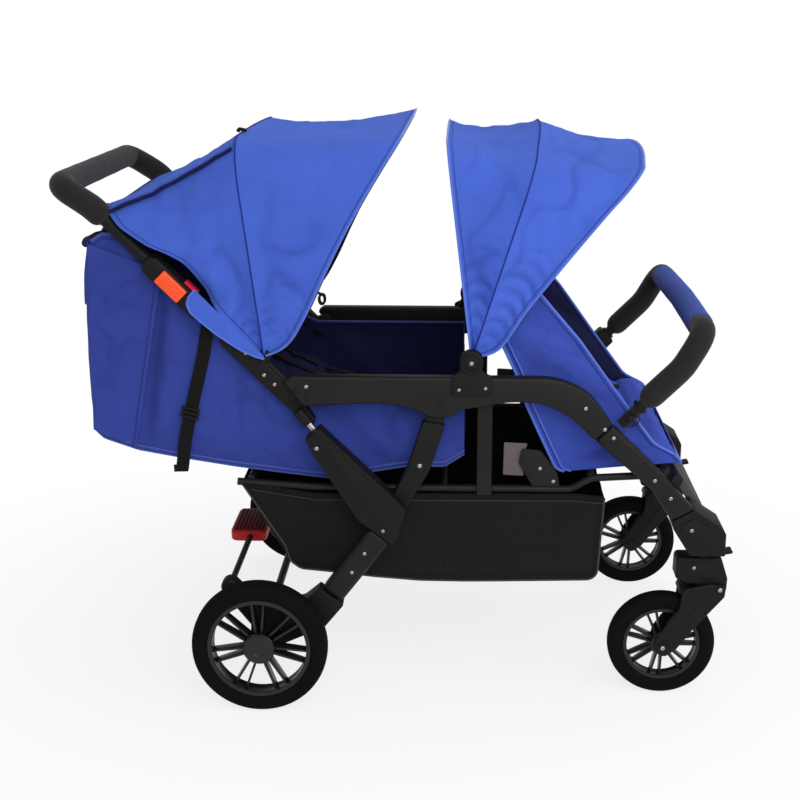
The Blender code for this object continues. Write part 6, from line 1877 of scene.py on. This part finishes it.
def stage():
    kit = bpy.context.scene.stroller_stage
    scene = bpy.context.scene
    start()
    bpy.ops.mesh.primitive_grid_add(x_subdivisions=12, y_subdivisions=12, size=24.0,
        location=(0, 4.0, -0.0005))
    floor = bpy.context.object
    bpy.ops.object.transform_apply(location=True)
    floor.name = "studio_floor"
    s = Shader("studio floor", tuple(kit.floor), 0.95)
    at = s.place()
    x, y = s.axis(at, 0), s.axis(at, 1)
    reach = (x * x + y * y * 1.2) ** 0.5
    paths = s.node("ShaderNodeLightPath", output="Is Camera Ray")
    gloss = s.node("ShaderNodeLightPath", output="Is Glossy Ray")
    through = s.node("ShaderNodeLightPath", output="Is Transmission Ray")
    seen = s.node("ShaderNodeMath", {"operation": "MINIMUM"}, [paths + gloss + through, 1.0])
    white = s.node("ShaderNodeEmission", None, {"Color": (1.0, 1.0, 1.0), "Strength": 1.0})
    share = seen * (0.8 + 0.2 * reach.clamped(0.45, 1.5))
    blended = s.node("ShaderNodeMixShader", None, {0: share, 1: Value(s, s.surface.outputs[0]), 2: white})
    s.tree.links.new(blended.socket, s.tree.nodes["Material Output"].inputs["Surface"])
    floor.data.materials.append(s.material)

    world = bpy.data.worlds.new("Studio")
    scene.world = world
    world.use_nodes = True
    tree = world.node_tree
    tree.nodes.clear()
    out, mix, dim, bright, light, either = (tree.nodes.new("ShaderNode" + kind)
        for kind in ("OutputWorld", "MixShader", "Background", "Background", "LightPath", "Math"))
    for background, strength in ((dim, kit.fill), (bright, 1.0)):
        background.inputs["Color"].default_value = (1.0, 1.0, 1.0, 1.0)
        background.inputs["Strength"].default_value = strength
    either.operation = "ADD"
    either.use_clamp = True
    for source, socket in ((light.outputs["Is Camera Ray"], either.inputs[0]),
            (light.outputs["Is Transmission Ray"], either.inputs[1]), (either.outputs[0], mix.inputs["Fac"]),
            (dim.outputs[0], mix.inputs[1]), (bright.outputs[0], mix.inputs[2]),
            (mix.outputs[0], out.inputs["Surface"])):
        tree.links.new(source, socket)

    for name, place, size, share, aim_x in (("Key", (0.7, -2.9, 2.1), 2.2, 1.0, 0.1),
            ("Top", (0.3, 0.6, 3.0), 2.4, 0.28, 0.0), ("Side", (2.6, -1.2, 1.6), 1.4, 0.25, 0.0)):
        lamp = bpy.data.lights.new(name, "AREA")
        lamp.shape = "SQUARE"
        lamp.size = size
        lamp.energy = kit.key * share
        obj = bpy.data.objects.new(name, lamp)
        scene.collection.objects.link(obj)
        obj.location = place
        obj.rotation_euler = (Vector((aim_x, 0.0, 0.6)) - Vector(place)).to_track_quat("-Z", "Y").to_euler()

    yaw, pitch, roll = -0.0449, 0.2724, -0.0022
    ahead = Vector((math.sin(yaw) * math.cos(pitch), math.cos(yaw) * math.cos(pitch), -math.sin(pitch)))
    right = Vector((math.cos(yaw), -math.sin(yaw), 0))
    over = right.cross(ahead)
    right, over = right * math.cos(roll) + over * math.sin(roll), over * math.cos(roll) - right * math.sin(roll)
    data = bpy.data.cameras.new("Camera")
    data.lens = 63.0
    data.sensor_width = 36.0
    camera = bpy.data.objects.new("Camera", data)
    scene.collection.objects.link(camera)
    turn = Matrix((right, over, -ahead)).transposed().to_4x4()
    camera.matrix_world = Matrix.Translation((0.1192, -2.7479, 1.269)) @ turn
    scene.camera = camera
    scene.view_settings.view_transform = "Standard"


# Operators

class STROLLER_OT_stage(bpy.types.Operator):
    """Lay the floor and set the lamps, the world and the camera"""
    bl_idname = "stroller.stage"
    bl_label = "Stage"

    def execute(self, context):
        stage()
        return {"FINISHED"}


class STROLLER_OT_side_frames(bpy.types.Operator):
    """Build the rails, links, gussets, legs, housings and hood posts of both sides"""
    bl_idname = "stroller.side_frames"
    bl_label = "Side frames"

    def execute(self, context):
        edge = context.scene.stroller_frame.edge
        for side, word in SIDES:
            side_rail(side, word, edge)
            link_and_gusset(side, word, edge)
            rear_leg(side, word)
            rear_housing(side, word)
            front_leg(side, word)
            front_joint(side, word)
            canopy_post(side, word)
        return {"FINISHED"}


class STROLLER_OT_handle(bpy.types.Operator):
    """Build the handle bow, its foam sleeve, brackets and latches"""
    bl_idname = "stroller.handle"
    bl_label = "Handle"

    def execute(self, context):
        handle_tubing()
        handle_grip()
        for side, word in SIDES:
            handle_bracket(side, word)
            latch(side, word)
        return {"FINISHED"}


class STROLLER_OT_wheels(bpy.types.Operator):
    """Build all four wheels, each a tyre on a spoked rim"""
    bl_idname = "stroller.wheels"
    bl_label = "Wheels"

    def execute(self, context):
        kit = context.scene.stroller_wheel
        for side, word in SIDES:
            for place, axle, radius, width, wall, lip, track, hub, cap, spread, first in (("rear", REAR_AXLE,
                    kit.rear_radius, 0.042, 0.0315, 0.039, REAR_TRACK, 0.02, 0.03, 7.5, -12.0),
                    ("front", FRONT_AXLE, kit.front_radius, 0.036, 0.03, 0.0361, FRONT_TRACK, 0.016, 0.022,
                    8.0, 5.0)):
                tyre(side, word, place, axle, radius, width, radius - wall, track)
                rim(side, word, place, axle, radius - wall, radius - lip, width, track, hub, cap,
                    math.radians(spread), first, kit.spoke)
        return {"FINISHED"}


class STROLLER_OT_casters(bpy.types.Operator):
    """Build the swivelling front forks with their heads and swivel levers"""
    bl_idname = "stroller.casters"
    bl_label = "Casters and forks"

    def execute(self, context):
        for side, word in SIDES:
            caster(side, word)
        return {"FINISHED"}


class STROLLER_OT_rear_hood(bpy.types.Operator):
    """Build the rear hood: two panels, seam, hem, vent flap, bow and fittings"""
    bl_idname = "stroller.rear_hood"
    bl_label = "Rear hood"

    def execute(self, context):
        shape_back, front_line, seam_line, _ = hood("rear", "handle", REAR_HUB, (57.5, REAR_FRONT),
            (97.0, REAR_MID), (134.5, REAR_BACK), 0.003, (0.01, 0.006), 11.0, 3, (0.075, 0.05, 0.023))
        vent_flap(shape_back, "handle")
        hood_skirt()
        hood_fittings(seam_line, front_line)
        return {"FINISHED"}


class STROLLER_OT_front_hood(bpy.types.Operator):
    """Build the front hood: two panels, seam, hem and bow"""
    bl_idname = "stroller.front_hood"
    bl_label = "Front hood"

    def execute(self, context):
        back_line = hood("front", "chassis", FRONT_HUB, (48.5, FRONT_FRONT), (72.5, FRONT_MID),
            (97.0, FRONT_BACK), 0.014, (0.006, 0.006), 0.0, 9, (0.13, 0.09, 0.029))[3]
        rear_edge = tube(resampled(back_line, 160), 0.0018, 4)
        bodywork("front_hood_rear_hem", "trim", "chassis", "", [rear_edge], 60)
        return {"FINISHED"}


class STROLLER_OT_rear_seat(bpy.types.Operator):
    """Build the slung rear seat tub with its piping, back pocket and straps"""
    bl_idname = "stroller.rear_seat"
    bl_label = "Rear seat tub"

    def execute(self, context):
        rear_tub()
        rear_pocket()
        webbing_straps()
        return {"FINISHED"}


class STROLLER_OT_front_seat(bpy.types.Operator):
    """Build the front seat's wings and floor cloth"""
    bl_idname = "stroller.front_seat"
    bl_label = "Front seat cloth"

    def execute(self, context):
        front_wings()
        return {"FINISHED"}


class STROLLER_OT_cushions(bpy.types.Operator):
    """Blow up the two seat cushions and the two backrests and sew their channels"""
    bl_idname = "stroller.cushions"
    bl_label = "Cushions"

    def execute(self, context):
        # The rear cushion and both backrests take the lining's very dark navy, painted shade deep in the seats; the
        # front cushion takes the wing cloth, a lighter copy of the seat cloth as painted light
        cushion("rear_cushion", "chassis", "rear_seat_pad", *REAR_PAD, 0.215, REAR_PAD_RISE, 0.25, 1, 0,
            (0.036,), "lining")
        cushion("front_cushion", "chassis", "front_seat_pad", *FRONT_PAD, 0.205, FRONT_PAD_RISE, 0.22, 1, 0,
            (0.034,), "wing cloth")
        cushion("rear_back_cushion", "rear_backrest", "rear_backrest", *REAR_BACKREST, 0.39, 0.026, 0.45, -1,
            0.199, (-0.065, 0.065), "lining", 0.007, 0.006)
        cushion("front_back_cushion", "front_backrest", "front_backrest", *FRONT_BACKREST, 0.385, 0.024, 0.45,
            -1, 0.1965, (-0.064, 0.064), "lining", 0.007, 0.006)
        return {"FINISHED"}


class STROLLER_OT_harnesses(bpy.types.Operator):
    """Lay a harness with a buckle on each of the four places"""
    bl_idname = "stroller.harnesses"
    bl_label = "Harnesses"

    def execute(self, context):
        harness("rear", *REAR_BACKREST, 0.026, *REAR_PAD, REAR_PAD_RISE)
        harness("front", *FRONT_BACKREST, 0.024, *FRONT_PAD, FRONT_PAD_RISE)
        return {"FINISHED"}


class STROLLER_OT_basket(bpy.types.Operator):
    """Build the storage basket and the tubes under the seats"""
    bl_idname = "stroller.basket"
    bl_label = "Basket and seat tubes"

    def execute(self, context):
        basket()
        seat_frame()
        return {"FINISHED"}


class STROLLER_OT_front_end(bpy.types.Operator):
    """Build the bumper bar with its holders and buttons, and the footrest"""
    bl_idname = "stroller.front_end"
    bl_label = "Bumper bar and footrest"

    def execute(self, context):
        bumper()
        bumper_sockets()
        footrest()
        return {"FINISHED"}


class STROLLER_OT_brake(bpy.types.Operator):
    """Build the brake pedal, its shaft and the rear axle"""
    bl_idname = "stroller.brake"
    bl_label = "Brake and rear axle"

    def execute(self, context):
        brake()
        return {"FINISHED"}


class STROLLER_OT_screws(bpy.types.Operator):
    """Set every screw that the other pieces asked for"""
    bl_idname = "stroller.screws"
    bl_label = "Screws"

    def execute(self, context):
        screws()
        return {"FINISHED"}


OPERATORS = (STROLLER_OT_stage, STROLLER_OT_side_frames, STROLLER_OT_handle, STROLLER_OT_wheels,
    STROLLER_OT_casters, STROLLER_OT_rear_hood, STROLLER_OT_front_hood, STROLLER_OT_rear_seat,
    STROLLER_OT_front_seat, STROLLER_OT_cushions, STROLLER_OT_harnesses, STROLLER_OT_basket,
    STROLLER_OT_front_end, STROLLER_OT_brake, STROLLER_OT_screws)


class STROLLER_PT_builder(bpy.types.Panel):
    """Sizes, colours and pieces of the stroller"""
    bl_label = "Stroller"
    bl_idname = "STROLLER_PT_builder"
    bl_space_type = "VIEW_3D"
    bl_region_type = "UI"
    bl_category = "Stroller"

    def draw(self, context):
        for group in ("stroller_cloth", "stroller_frame", "stroller_wheel", "stroller_stage"):
            box = self.layout.box()
            kit = getattr(context.scene, group)
            for key in kit.__annotations__:
                box.prop(kit, key)
        for operator in OPERATORS:
            self.layout.operator(operator.bl_idname)


GROUPS = {"stroller_cloth": StrollerCloth, "stroller_frame": StrollerFrame, "stroller_wheel": StrollerWheel,
    "stroller_stage": StrollerStage}


def register():
    for group in GROUPS.values():
        bpy.utils.register_class(group)
    for key, group in GROUPS.items():
        setattr(bpy.types.Scene, key, bpy.props.PointerProperty(type=group))
    for operator in OPERATORS:
        bpy.utils.register_class(operator)
    bpy.utils.register_class(STROLLER_PT_builder)


def unregister():
    bpy.utils.unregister_class(STROLLER_PT_builder)
    for operator in reversed(OPERATORS):
        bpy.utils.unregister_class(operator)
    for key, group in GROUPS.items():
        delattr(bpy.types.Scene, key)
        bpy.utils.unregister_class(group)


def main():
    register()
    bpy.ops.stroller.stage()
    bpy.ops.stroller.side_frames()
    bpy.ops.stroller.handle()
    bpy.ops.stroller.wheels()
    bpy.ops.stroller.casters()
    bpy.ops.stroller.rear_hood()
    bpy.ops.stroller.front_hood()
    bpy.ops.stroller.rear_seat()
    bpy.ops.stroller.front_seat()
    bpy.ops.stroller.cushions()
    bpy.ops.stroller.harnesses()
    bpy.ops.stroller.basket()
    bpy.ops.stroller.front_end()
    bpy.ops.stroller.brake()
    bpy.ops.stroller.screws()


if __name__ == "__main__":
    main()
